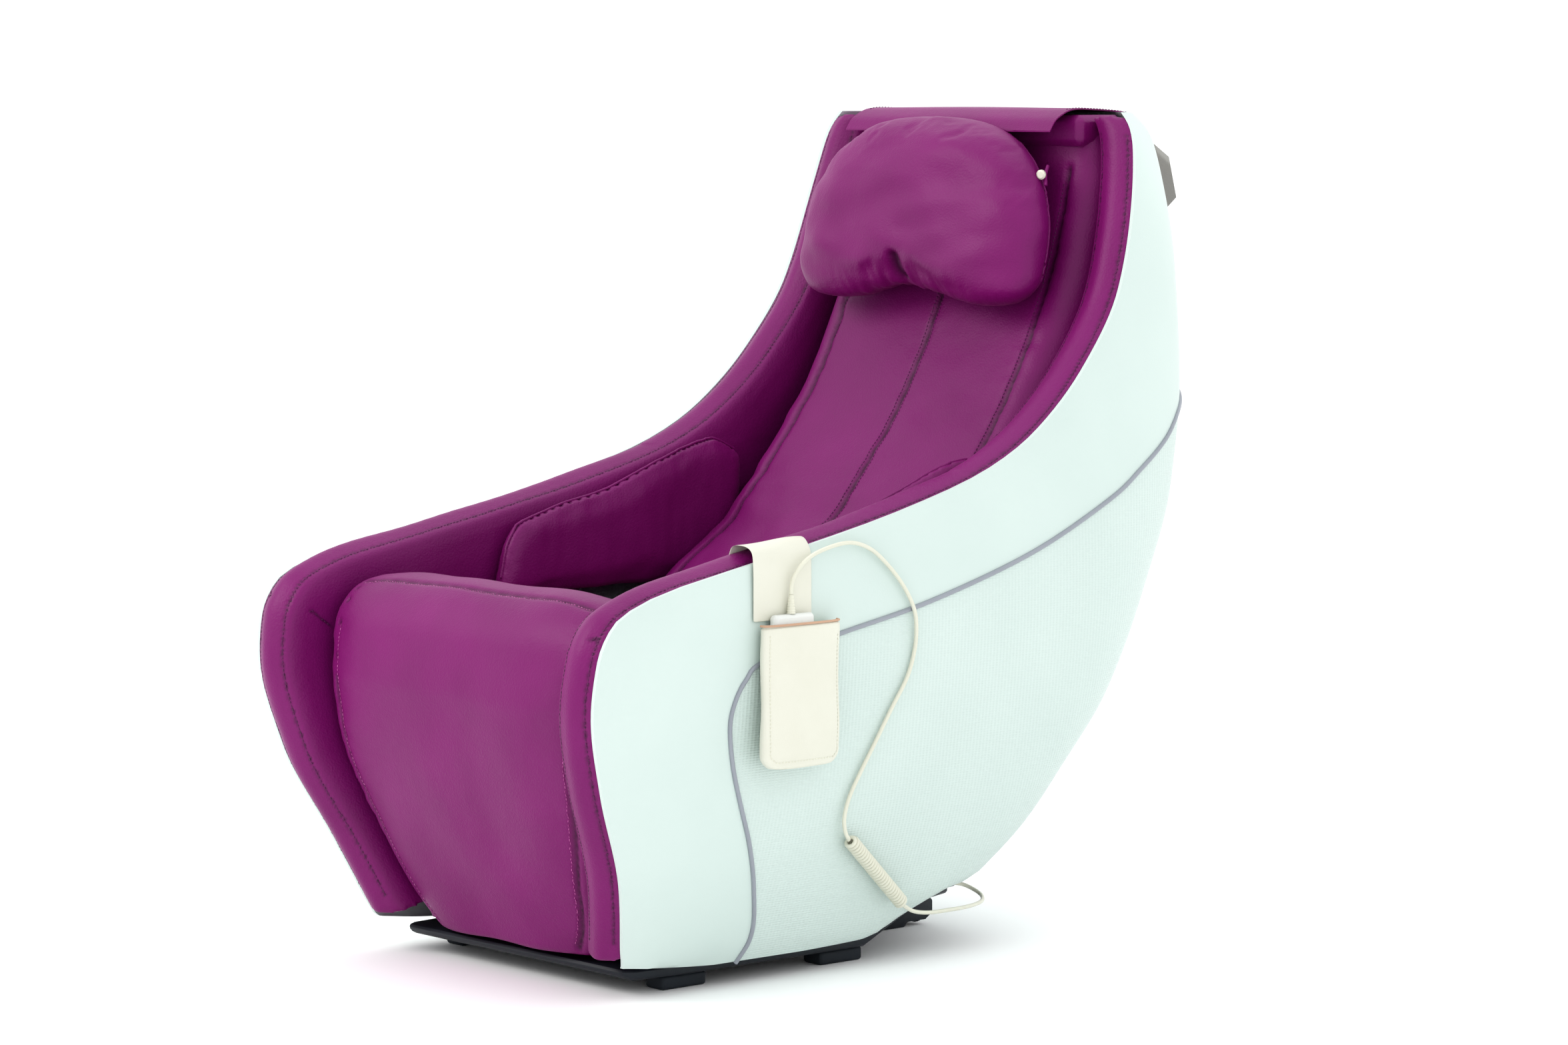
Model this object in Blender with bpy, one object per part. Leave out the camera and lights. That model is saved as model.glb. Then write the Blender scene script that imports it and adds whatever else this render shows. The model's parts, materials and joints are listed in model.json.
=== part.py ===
"""Compact massage chair: egg-shaped shell, padded arms, rolling-carriage massager and swing-out leg rest.

Metres, +Z up, front towards -Y.  The pieces are drawn in the chair's drafting frame and hang on one
empty, which puts the middle of the finished chair's footprint at the world origin.
"""
import bmesh
import bpy
import math
import numpy as np
from mathutils import Vector

# ---- driving dimensions -------------------------------------------------------------------------
ORIGIN = (-0.0106, 0.0548, 0.0)          # moves the drafting frame onto the footprint's centre
TOUCH = 0.0004                           # gap left between pieces that touch

HALF_WIDTH = [(0.02, 0.232), (0.05, 0.248), (0.25, 0.316), (0.45, 0.334), (0.62, 0.327), (0.85, 0.315), (1.04, 0.294)]
RIM = [(0.028, -0.472), (0.144, -0.512), (0.258, -0.563), (0.362, -0.586), (0.414, -0.580), (0.457, -0.556),
       (0.483, -0.498), (0.511, -0.358), (0.557, -0.130), (0.601, 0.026), (0.643, 0.108), (0.718, 0.193),
       (0.810, 0.258), (0.937, 0.297), (1.030, 0.316)]
REAR = [(0.05, 0.075), (0.075, 0.133), (0.096, 0.159), (0.149, 0.212), (0.222, 0.262), (0.301, 0.321), (0.443, 0.385),
        (0.565, 0.4325), (0.707, 0.453), (0.841, 0.449), (0.960, 0.431), (1.010, 0.416), (1.030, 0.398)]
BOTTOM = [(-0.60, 0.050), (-0.48, 0.042), (-0.40, 0.033), (-0.29, 0.027), (-0.09, 0.031), (-0.03, 0.058),
          (0.03, 0.081), (0.13, 0.094)]
CORNER = 0.25                            # depth of the rounded rear corners
ROUNDNESS = 4.0                          # exponent of their superellipse
SHELL_TOP = 1.028
SHELL_WALL = 0.005
REAR_SEAM_X = 0.21                       # seam between each side panel and the rear panel
ARM_THICK = 0.068
ARM_GAP = 0.0035                         # between the shell and the arm's padding
ARM_BOTTOM = 0.046

ARC_Y, ARC_Z = -0.470, 1.096             # centre of the back's arc, about which the carriage travels
PAD_R, PAD_THICK = 0.795, 0.044
PAD_LOW, PAD_HIGH = 30.0, 81.0           # degrees from straight down, towards the rear
PAD_HALF = 0.222

ROLL_Y, ROLL_Z, ROLL_R = -0.462, 0.393, 0.080    # top roll of the leg rest, on its hinge axis
REST_THICK = 0.085
PILLOW_BACK, PILLOW_Z = 0.283, 0.906      # rear face and middle height of the head pillow

CARRIAGE_DEG = 42.0                      # where the carriage rests on the arc
RAIL_R, RAIL_DEEP = 0.905, 0.012
FRAME_X = 0.205
REMOTE_X, REMOTE_Y = 0.3457, -0.3005
CORD_D = 0.005


def smooth(knots):
    """A smooth function through rising knots that never swings past them."""
    t, v = np.array(knots, float).T
    step = np.diff(t)
    slope = np.diff(v) / step
    tangent = np.zeros(len(t))
    tangent[0], tangent[-1] = slope[0], slope[-1]
    for i in range(1, len(t) - 1):
        if slope[i - 1] * slope[i] > 0:
            tangent[i] = 2 * slope[i - 1] * slope[i] / (slope[i - 1] + slope[i])

    def value(x):
        x = min(max(x, t[0]), t[-1])
        i = min(int(np.searchsorted(t, x, side="right")) - 1, len(step) - 1)
        s = (x - t[i]) / step[i]
        rise = v[i] + (v[i + 1] - v[i]) * s * s * (3 - 2 * s)
        return rise + step[i] * s * (1 - s) * (tangent[i] * (1 - s) - tangent[i + 1] * s)

    return value


half_width = smooth(HALF_WIDTH)
rim_y = smooth(RIM)
rear_y = smooth(REAR)
bottom_z = smooth(BOTTOM)


def arc(radius, degrees):
    """(y, z) on the back's arc, at an angle from straight down."""
    a = math.radians(degrees)
    return ARC_Y + radius * math.sin(a), ARC_Z - radius * math.cos(a)


# ---- mesh helpers -------------------------------------------------------------------------------
def material(name, color, roughness, metallic=0.0):
    """A plain Principled material."""
    made = bpy.data.materials.new(name)
    made.use_nodes = True
    shader = made.node_tree.nodes["Principled BSDF"]
    shader.inputs["Base Color"].default_value = (*color, 1.0)
    shader.inputs["Roughness"].default_value = roughness
    shader.inputs["Metallic"].default_value = metallic
    return made


def solid(name, finish, verts, faces, soft=True):
    """One closed body with its faces pointing out, hung on the chair's empty."""
    mesh = bpy.data.meshes.new(name)
    mesh.from_pydata([tuple(v) for v in verts], [], faces)
    shape = bmesh.new()
    shape.from_mesh(mesh)
    bmesh.ops.remove_doubles(shape, verts=shape.verts, dist=1e-6)
    bmesh.ops.recalc_face_normals(shape, faces=shape.faces)
    shape.to_mesh(mesh)
    shape.free()
    mesh.materials.append(finish)
    if soft:
        mesh.shade_smooth()
        mesh.set_sharp_from_angle(angle=math.radians(35))
    obj = bpy.data.objects.new(name, mesh)
    bpy.context.scene.collection.objects.link(obj)
    obj.parent = bpy.data.objects["chair"]
    return obj


def loft(name, finish, rings):
    """Join closed rings of equal length and cap the first and the last."""
    n = len(rings[0])
    verts = [v for ring in rings for v in ring]
    faces = []
    for j in range(len(rings) - 1):
        for i in range(n):
            k = (i + 1) % n
            faces.append((j * n + i, j * n + k, (j + 1) * n + k, (j + 1) * n + i))
    faces.append(tuple(range(n)))
    faces.append(tuple((len(rings) - 1) * n + i for i in range(n)))
    return solid(name, finish, verts, faces)


def sheet(name, finish, front, back):
    """A closed skin between two grids of points with the same rows and columns."""
    rows, cols = len(front), len(front[0])
    verts = [p for row in front for p in row] + [p for row in back for p in row]
    other = rows * cols
    faces = []
    for j in range(rows - 1):
        for i in range(cols - 1):
            a, b, c, d = j * cols + i, j * cols + i + 1, (j + 1) * cols + i + 1, (j + 1) * cols + i
            faces += [(a, b, c, d), (other + d, other + c, other + b, other + a)]
    edge = [(0, i) for i in range(cols - 1)] + [(j, cols - 1) for j in range(rows - 1)]
    edge += [(rows - 1, i) for i in range(cols - 1, 0, -1)] + [(j, 0) for j in range(rows - 1, 0, -1)]
    for (row, col), (next_row, next_col) in zip(edge, edge[1:] + edge[:1]):
        a, b = row * cols + col, next_row * cols + next_col
        faces.append((b, a, other + a, other + b))
    return solid(name, finish, verts, faces)


def bevelled(obj, width, segments=2):
    """Round the sharp edges of an object."""
    bevel = obj.modifiers.new("edge", "BEVEL")
    bevel.width = width
    bevel.segments = segments
    bevel.limit_method = "ANGLE"
    bevel.angle_limit = math.radians(40)
    return obj


def box(name, finish, low, high, round_mm=0.0):
    """A box between two corners, its edges rounded by round_mm."""
    corners = [(x, y, z) for x in (low[0], high[0]) for y in (low[1], high[1]) for z in (low[2], high[2])]
    faces = [(0, 1, 3, 2), (4, 6, 7, 5), (0, 4, 5, 1), (2, 3, 7, 6), (0, 2, 6, 4), (1, 5, 7, 3)]
    obj = solid(name, finish, corners, faces, soft=False)
    return bevelled(obj, round_mm / 1000, 1) if round_mm else obj


def prism(name, finish, outline, x_low, x_high):
    """A side outline of (y, z) points, extruded across the chair."""
    return loft(name, finish, [[(x, y, z) for y, z in outline] for x in (x_low, x_high)])


def turned(name, finish, start, axis, profile, sides=16):
    """A solid of revolution: profile holds (distance along axis, radius) from end to end."""
    start, axis = Vector(start), Vector(axis).normalized()
    across = axis.orthogonal().normalized()
    up = axis.cross(across)
    rings = []
    for along, radius in profile:
        turns = [2 * math.pi * i / sides for i in range(sides)]
        rings.append([start + axis * along + radius * (across * math.cos(a) + up * math.sin(a)) for a in turns])
    return loft(name, finish, rings)


def rod(name, finish, start, end, radius, sides=12):
    """A straight round bar."""
    along = Vector(end) - Vector(start)
    return turned(name, finish, start, along, [(0, radius), (along.length, radius)], sides)


def boolean(obj, other, operation):
    """Cut or join with a guide solid, which is hidden."""
    other.hide_render = True
    other.display_type = "WIRE"
    change = obj.modifiers.new(operation.lower(), "BOOLEAN")
    change.operation = operation
    change.solver = "EXACT"
    change.object = other
    return obj


# ---- outline of the shell, seen from above --------------------------------------------------------
def outline(z, inset, count=48):
    """Points from in front of the chair round the right side to the middle of the rear, at one height."""
    w = half_width(z) - inset
    depth = CORNER - inset
    corner_y = rear_y(z) - CORNER
    points = [(w, corner_y - 0.9 * (1 - i / 14)) for i in range(14)]
    for i in range(count + 1):
        a = 0.5 * math.pi * i / count
        c, s = math.cos(a), math.sin(a)
        r = ((c / w) ** ROUNDNESS + (s / depth) ** ROUNDNESS) ** (-1 / ROUNDNESS)
        points.append((r * c, corner_y + r * s))
    return np.array(points)


def stretch(points, start_y, end_x, count):
    """Evenly spaced points on an outline from y = start_y to where its x falls to end_x."""
    lengths = np.concatenate([[0], np.cumsum(np.linalg.norm(np.diff(points, axis=0), axis=1))])
    begin = np.interp(start_y, points[:, 1], lengths)
    finish = np.interp(-end_x, -points[:, 0] + lengths * 1e-9, lengths)
    s = np.linspace(begin, finish, count)
    return np.stack([np.interp(s, lengths, points[:, 0]), np.interp(s, lengths, points[:, 1])], axis=1)


def inward(points, distance):
    """The same points moved towards the chair's middle, square to the outline."""
    run = np.gradient(points, axis=0)
    run /= np.linalg.norm(run, axis=1)[:, None]
    return points + distance * np.stack([-run[:, 1], run[:, 0]], axis=1)


def shell_rows(low, high, fine):
    """Heights of the shell's rows, closest together where the rim runs nearly level."""
    below = np.linspace(low, 0.45, fine)
    level = np.linspace(0.465, 0.63, fine)
    return [*below, *level, *np.linspace(0.66, high, fine)]


def lifted(z, y, low):
    """Height after the lowest rows are squeezed up to follow the shell's bottom edge."""
    reach = 0.20
    if z >= reach:
        return z
    edge = bottom_z(y)
    return edge + (z - low) * (reach - edge) / (reach - low)


def panel_grid(rows, inset, start, end_x, columns, mirror=1):
    """Grid of points on the shell surface; start(z) gives the y at which each row begins."""
    grid = []
    for z in rows:
        flat = stretch(outline(z, inset), start(z), end_x, columns)
        row = []
        for x, y in flat:
            height = lifted(z, y, rows[0])
            shift = half_width(height) - half_width(z)
            back = (rear_y(height) - rear_y(z)) * max(0.0, min(1.0, (y - rear_y(z) + CORNER) / CORNER))
            row.append((mirror * (x + shift * min(1.0, x / half_width(z))), y + back, height))
        grid.append(row)
    return grid


# ---- shell ------------------------------------------------------------------------------------------
SIDES = (("left", -1), ("right", 1))


def side_panels(finish):
    """The two white side panels, from the rim round the rear corners to the rear seams."""
    rows = shell_rows(0.028, SHELL_TOP, 11)
    for side, sign in SIDES:
        outer = panel_grid(rows, 0.0, rim_y, REAR_SEAM_X, 18, sign)
        inner = panel_grid(rows, SHELL_WALL, rim_y, REAR_SEAM_X, 18, sign)
        sheet(f"side_panel_{side}", finish, outer, inner)


def rear_panel(finish):
    """The rear cover between the side panels."""
    rows = np.linspace(0.085, SHELL_TOP, 20)
    edge = REAR_SEAM_X - 0.001
    grids = []
    for inset in (0.0, SHELL_WALL):
        grid = []
        for z in rows:
            points = outline(z, inset)
            half = [np.interp(-x, -points[:, 0], points[:, 1]) for x in np.linspace(edge, 0, 6)]
            x_all = list(np.linspace(edge, -edge, 11))
            grid.append([(x, y, z) for x, y in zip(x_all, half + half[-2::-1])])
        grids.append(grid)
    sheet("rear_panel", finish, *grids)


def shell_volume(name, finish, inset, low, high, count=14):
    """Solid of everything inside the shell's outer surface, used as a guide."""
    rings = []
    for z in np.linspace(low, high, count):
        right = stretch(outline(z, inset), -0.2, 0.0, 16)
        rings.append([(x, y, z) for x, y in right] + [(-x, y, z) for x, y in right[-2::-1]])
    return loft(name, finish, rings)


def base_tray(finish):
    """The moulded tray under the shell, with its rear end swept up."""
    # y, half width, lowest z and top z
    stations = [(-0.445, 0.205, 0.024, 0.0315), (-0.430, 0.215, 0.018, 0.0315), (-0.362, 0.222, 0.018, 0.0315),
                (-0.352, 0.222, 0.018, 0.0450), (-0.075, 0.222, 0.018, 0.0450), (-0.020, 0.215, 0.040, 0.0560),
                (0.040, 0.205, 0.060, 0.0750), (0.098, 0.185, 0.060, 0.0830)]
    rings = [[(-w, y, low), (w, y, low), (w + 0.004, y, top), (-w - 0.004, y, top)] for y, w, low, top in stations]
    return bevelled(loft("base_tray", finish, rings), 0.003, 1)


def feet(finish):
    """Four rubber feet under the tray."""
    for place, y in (("front", -0.385), ("middle", -0.137)):
        for side, sign in SIDES:
            low = (sign * 0.195 - 0.017, y, 0.0)
            high = (sign * 0.195 + 0.017, y + 0.068, 0.018 - TOUCH)
            box(f"foot_{place}_{side}", finish, low, high, 3.0)


WHEEL_Y, WHEEL_Z, WHEEL_R = 0.150, 0.0190, 0.0165
WHEEL_X = 0.064


def wheel_brackets(finish, wheel_finish, axle_finish):
    """Rear foot brackets, each with a small transport wheel in its fork."""
    side_view = [(0.066, 0.0), (0.122, 0.0), (0.127, 0.006), (0.158, 0.006), (0.170, 0.014), (0.170, 0.030),
                 (0.158, 0.042), (0.100, 0.060 - TOUCH), (0.066, 0.060 - TOUCH)]
    for side, sign in SIDES:
        x = sign * WHEEL_X
        bracket = prism(f"wheel_bracket_{side}", finish, side_view, x - 0.016, x + 0.016)
        slot = box(f"slot_{side}", finish, (x - 0.0095, 0.130, -0.01), (x + 0.0095, 0.20, 0.037))
        boolean(bracket, slot, "DIFFERENCE")
        profile = [(0, 0.006), (0, 0.0145), (0.0015, WHEEL_R), (0.0155, WHEEL_R), (0.017, 0.0145), (0.017, 0.006)]
        turned(f"transport_wheel_{side}", wheel_finish, (x - 0.0085, WHEEL_Y, WHEEL_Z), (1, 0, 0), profile, 20)


def carry_handle(finish, grip_finish):
    """Chromed frustum across the top of the rear, hollowed from below for the fingers, with a grip inset."""
    half, face_top, face_low = 0.205, np.array([0.461, 0.972]), np.array([0.475, 0.920])
    profile = [(0.380, 1.0214), tuple(face_top), tuple(face_low), (0.360, 0.8320)]
    handle = prism("carry_handle", finish, profile, -half, half)
    boolean(handle, shell_volume("handle_seat", finish, -0.0015, 0.80, 1.0299), "DIFFERENCE")
    boolean(handle, box("finger_space", finish, (-0.160, 0.38, 0.80), (0.160, 0.4625, 0.952)), "DIFFERENCE")
    down = face_low - face_top
    out = np.array([-down[1], down[0]]) / np.linalg.norm(down)
    bulge = 0.0035
    inset = [tuple(face_top + down * t + out * lift)
             for t, lift in ((0.06, TOUCH), (0.94, TOUCH), (0.86, bulge), (0.14, bulge))]
    prism("handle_grip_inset", grip_finish, inset, -0.200, 0.200)


# ---- padding ------------------------------------------------------------------------------------------
WING_END = [(0.046, -0.400), (0.20, -0.415), (0.30, -0.20), (0.38, 0.05), (0.62, 0.18), (0.75, 0.26), (0.90, 0.33),
            (1.024, 0.352)]
ARM_DEPTH = [(0.046, 0.072), (0.45, ARM_THICK), (0.62, 0.066), (0.90, 0.056), (1.024, 0.054)]


def arm_pads(finish):
    """Upholstered arms that rise into the head wings."""
    wing_end, depth = smooth(WING_END), smooth(ARM_DEPTH)
    rows = shell_rows(ARM_BOTTOM, 1.026, 10)
    for side, sign in SIDES:
        rings = []
        for z in rows:
            points = outline(z, SHELL_WALL + ARM_GAP)
            lengths = np.concatenate([[0], np.cumsum(np.linalg.norm(np.diff(points, axis=0), axis=1))])
            s = np.linspace(np.interp(rim_y(z), points[:, 1], lengths),
                            np.interp(min(wing_end(z), rear_y(z) - 0.03), points[:, 1], lengths), 8)
            skin = np.stack([np.interp(s, lengths, points[:, 0]), np.interp(s, lengths, points[:, 1])], axis=1)
            inside = inward(skin, depth(z))
            ring = [(sign * x, y, z) for x, y in skin] + [(sign * x, y, z) for x, y in inside[::-1]]
            rings.append(ring)
        loft(f"arm_pad_{side}", finish, rings)


def back_pad(finish):
    """The upholstered back, bent to the arc that the rollers follow."""
    grids = ([], [])
    for degrees in np.linspace(PAD_LOW, PAD_HIGH, 12):
        half = PAD_HALF - 0.018 * max(0.0, (degrees - 62) / 19)
        for grid, front in zip(grids, (True, False)):
            row = []
            for t in np.linspace(-1, 1, 9):
                crown = 0.012 * abs(t) ** 3
                y, z = arc(PAD_R + crown if front else PAD_R + PAD_THICK, degrees)
                row.append((half * t, y, z))
            grid.append(row)
    sheet("back_pad", finish, *grids)


def seat_pad(finish):
    """The seat cushion: its front lip follows the leg rest's roll, its rear meets the back pad."""
    top = smooth([(-0.425, 0.462), (-0.36, 0.458), (-0.27, 0.425), (-0.18, 0.400), (-0.088, 0.392)])
    rings = []
    clear = ROLL_R + 0.005
    for y in (-0.405, -0.392, -0.383, -0.3775, -0.374, -0.330, -0.298, -0.291, -0.24, -0.19, -0.14, -0.095):
        inside = clear ** 2 - (y - ROLL_Y) ** 2
        low = max(0.345, ROLL_Z + math.sqrt(inside)) if inside > 0 else 0.345
        half = 0.245 if y < -0.295 else 0.222
        high = top(y)
        low = min(low, high - 0.004)
        edge = max(high - 0.008, low + 0.002)
        crown = [(-half, low), (half, low), (half, edge), (half * 0.85, high), (0.0, high + 0.003),
                 (-half * 0.85, high), (-half, edge)]
        rings.append([(x, y, z) for x, z in crown])
    loft("seat_pad", finish, rings)


def side_cushions(finish):
    """Hip cushions on the inner walls of the arms."""
    top = smooth([(-0.290, 0.470), (-0.275, 0.500), (-0.24, 0.522), (-0.10, 0.552), (0.03, 0.592), (0.105, 0.620)])
    for side, sign in SIDES:
        rings = []
        for y in (-0.287, -0.275, -0.24, -0.17, -0.10, -0.03, 0.04, 0.095):
            high = top(y)
            low = 0.410 if y < -0.2 else 0.400
            outer = [half_width(z) - SHELL_WALL - ARM_GAP - ARM_THICK - 0.002 for z in (low, high)]
            rings.append([(sign * 0.2275, y, low), (sign * outer[0], y, low),
                          (sign * outer[1], y, high), (sign * 0.2275, y, high)])
        bevelled(loft(f"hip_cushion_{side}", finish, rings), 0.006, 2)


def top_cap(finish):
    """The padded cap that closes the top between the wings."""
    return box("top_cap", finish, (-0.206, 0.300, 0.9860), (0.206, 0.380, 1.0255), 8.0)


def head_pillow(finish):
    """The head pillow: domed top, hollowed lower edge, hung on its flap."""
    rings = []
    count = 28
    for depth, grow in ((0.0, 0.62), (0.012, 0.86), (0.035, 0.985), (0.055, 1.0), (0.078, 0.97), (0.098, 0.80),
                        (0.108, 0.55)):
        ring = []
        for i in range(count):
            a = 2 * math.pi * i / count
            x = 0.226 * math.copysign(abs(math.cos(a)) ** 0.72, math.cos(a))
            up = 0.128 * math.copysign(abs(math.sin(a)) ** 0.85, math.sin(a))
            if math.sin(a) < 0:
                up = up * 0.80 + 0.022 * math.cos(x / 0.226 * 1.5) ** 2
            tilt = 0.17 * up * grow
            ring.append((x * grow, PILLOW_BACK - depth + tilt, PILLOW_Z + up * grow))
        rings.append(ring)
    loft("head_pillow", finish, rings)


def pillow_flap(finish):
    """The two leaves of the pillow's flap, which meet on the chair's top edge."""
    front = [(0.2985, 1.0312), (0.2985, 1.0352), (0.2620, 1.0392), (0.2620, 1.0352)]
    prism("pillow_flap_front", finish, front, -0.185, 0.185)
    box("pillow_flap_rear", finish, (-0.190, 0.3000, 1.0300), (0.190, 0.4050, 1.0345))


# ---- leg rest -------------------------------------------------------------------------------------------
REST_HALF = [(0.03, 0.145), (0.082, 0.178), (0.124, 0.194), (0.181, 0.214), (0.24, 0.232), (0.331, 0.243),
             (0.40, 0.2475), (0.48, 0.2475)]
REST_FRONT = [(0.036, -0.448), (0.082, -0.468), (0.124, -0.486), (0.181, -0.507), (0.24, -0.526), (0.289, -0.538),
              (0.345, -0.544)]


def rest_outline():
    """Side outline of the leg rest: front face, round top roll and rear face."""
    front, low = smooth(REST_FRONT), 0.036
    points = [(front(z), z) for z in (low, 0.124, 0.181, 0.24, 0.30, 0.345)]
    for degrees in range(195, -16, -21):
        a = math.radians(degrees)
        points.append((ROLL_Y + ROLL_R * math.cos(a), ROLL_Z + ROLL_R * math.sin(a)))
    points += [(front(z) + REST_THICK, z) for z in (0.345, 0.24, 0.124)]
    points.append((front(low) + 0.6 * REST_THICK, low + 0.004))
    return points


def leg_rest(finish, frame_finish, bag_finish):
    """The swing-out leg rest: padded cover, hinge frame and two calf air cells."""
    half = smooth(REST_HALF)
    side_view = rest_outline()
    rings = []
    for t in (-1.0, -0.93, -0.5, 0.0, 0.5, 0.93, 1.0):
        ring = []
        for y, z in side_view:
            pull = 0.010 if abs(t) == 1.0 else 0.0
            middle_y, middle_z = ROLL_Y + 0.012, min(z, ROLL_Z)
            ring.append((t * half(z), y + pull * math.copysign(1, middle_y - y) * (z < ROLL_Z),
                         z - pull * (z > ROLL_Z)))
        rings.append(ring)
    cover = loft("leg_rest_cover", finish, rings)
    hollow = prism("leg_rest_hollow", finish, [(-0.470, 0.300), (-0.452, 0.365), (-0.350, 0.365), (-0.350, 0.06),
                                               (-0.420, 0.06), (-0.440, 0.15)], -0.135, 0.135)
    boolean(cover, hollow, "DIFFERENCE")
    bore = rod("leg_rest_bore", finish, (-0.30, ROLL_Y, ROLL_Z), (0.30, ROLL_Y, ROLL_Z), 0.0102, 16)
    boolean(cover, bore, "DIFFERENCE")
    rod("leg_rest_axle", frame_finish, (-0.2525, ROLL_Y, ROLL_Z), (0.2525, ROLL_Y, ROLL_Z), 0.0095, 16)
    for side, sign in SIDES:
        x_low, x_high = sorted((sign * 0.008, sign * 0.128))
        cell = prism(f"calf_air_cell_{side}", bag_finish,
                     [(-0.432, 0.19), (-0.4445, 0.24), (-0.4585, 0.315), (-0.447, 0.340), (-0.432, 0.32), (-0.418, 0.22)],
                     x_low, x_high)
        bevelled(cell, 0.003, 1)


# ---- frame, rails and drive --------------------------------------------------------------------------------
def side_frames(finish, rail_finish):
    """Steel side plates that carry the curved guide rails."""
    inner = [arc(0.852, a) for a in np.linspace(80, 26, 10)]
    outer = [arc(r, a) for r, a in ((0.925, 52), (0.925, 62), (0.915, 70), (0.885, 80))]
    base = [(-0.33, 0.325), (-0.335, 0.052), (-0.08, 0.052), (-0.01, 0.080), (0.075, 0.100)]
    for side, sign in SIDES:
        low, high = sorted((sign * FRAME_X, sign * (FRAME_X + 0.004)))
        prism(f"side_frame_{side}", finish, inner + base + outer, low, high)
        rail = [arc(RAIL_R, a) for a in np.linspace(27, 72, 13)]
        rail += [arc(RAIL_R + RAIL_DEEP, a) for a in np.linspace(72, 27, 13)]
        low, high = sorted((sign * (FRAME_X - TOUCH), sign * (FRAME_X - 0.010)))
        prism(f"guide_rail_{side}", rail_finish, rail, low, high)


def seat_deck(finish):
    """Cross board between the side plates, under the seat cushion."""
    return box("seat_deck", finish, (-0.2040, -0.328, 0.322), (0.2040, -0.180, 0.334), 2.0)


def base_works(pump_finish, valve_finish, supply_finish):
    """Air pump, valve block and power supply on the tray."""
    box("air_pump", pump_finish, (-0.180, -0.310, 0.0455), (-0.030, -0.190, 0.135), 6.0)
    box("valve_block", valve_finish, (0.020, -0.300, 0.0455), (0.120, -0.215, 0.095), 3.0)
    box("power_supply", supply_finish, (-0.120, -0.150, 0.0455), (0.130, -0.085, 0.110), 3.0)


def around(degrees, radius, spread, thick):
    """Corners of a block that lies along the arc: spread degrees each way, thick inwards and outwards."""
    corners = []
    for side, r in ((-1, radius - thick), (0, radius - thick), (1, radius - thick),
                    (1, radius + thick), (0, radius + thick), (-1, radius + thick)):
        corners.append(arc(r, degrees + side * spread))
    return corners


KNEAD_R = 0.893                          # radius of the kneading shaft on the arc
ARM_X = 0.060
ROLLER_R = 0.0190
ROLLER_STEP = 4.2                        # degrees from the shaft to each roller


def carriage(frame_finish, motor_finish, shaft_finish):
    """The massage carriage: cross plate, two motors and the kneading shaft."""
    prism("carriage_frame", frame_finish, around(CARRIAGE_DEG, 0.930, 6.5, 0.004), -0.186, 0.186)
    y, z = arc(0.9575, CARRIAGE_DEG + 3.2)
    rod("kneading_motor", motor_finish, (-0.060, y, z), (0.060, y, z), 0.0225, 16)
    y, z = arc(0.9575, CARRIAGE_DEG - 3.2)
    rod("travel_motor", motor_finish, (-0.045, y, z), (0.075, y, z), 0.0225, 16)
    y, z = arc(KNEAD_R, CARRIAGE_DEG)
    rod("kneading_shaft", shaft_finish, (-0.150, y, z), (0.150, y, z), 0.0080, 12)
    y, z = arc(RAIL_R - 0.0140, CARRIAGE_DEG - 6.4)
    rod("pinion_shaft", shaft_finish, (-0.202, y, z), (0.202, y, z), 0.0120, 16)


def massage_arms(finish, roller_finish):
    """Two rocking arms on the kneading shaft, each with an upper and a lower roller."""
    shaft_y, shaft_z = arc(KNEAD_R, CARRIAGE_DEG)
    for side, sign in SIDES:
        x = sign * ARM_X
        bar = [arc(KNEAD_R - 0.012, CARRIAGE_DEG - 1.9), arc(KNEAD_R - 0.025, CARRIAGE_DEG - ROLLER_STEP * 0.52),
               arc(KNEAD_R - 0.025, CARRIAGE_DEG + ROLLER_STEP * 0.52), arc(KNEAD_R - 0.012, CARRIAGE_DEG + 1.9),
               arc(KNEAD_R + 0.016, CARRIAGE_DEG + 1.2), arc(KNEAD_R + 0.016, CARRIAGE_DEG - 1.2)]
        arm = prism(f"massage_arm_{side}", finish, bar, x - 0.009, x + 0.009)
        hole = rod(f"arm_bore_{side}", finish, (x - 0.02, shaft_y, shaft_z), (x + 0.02, shaft_y, shaft_z), 0.0084, 12)
        boolean(arm, hole, "DIFFERENCE")
        for place, turn in (("upper", 1), ("lower", -1)):
            y, z = arc(0.8675, CARRIAGE_DEG + turn * ROLLER_STEP)
            profile = [(-0.015, 0.006), (-0.015, 0.0135), (-0.009, 0.0180), (0.0, ROLLER_R), (0.009, 0.0180),
                       (0.015, 0.0135), (0.015, 0.006)]
            turned(f"massage_roller_{place}_{side}", roller_finish, (x, y, z), (1, 0, 0), profile, 16)


# ---- handset, pocket, cord and mains inlet --------------------------------------------------------------------
POCKET_BACK = 0.3362


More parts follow.
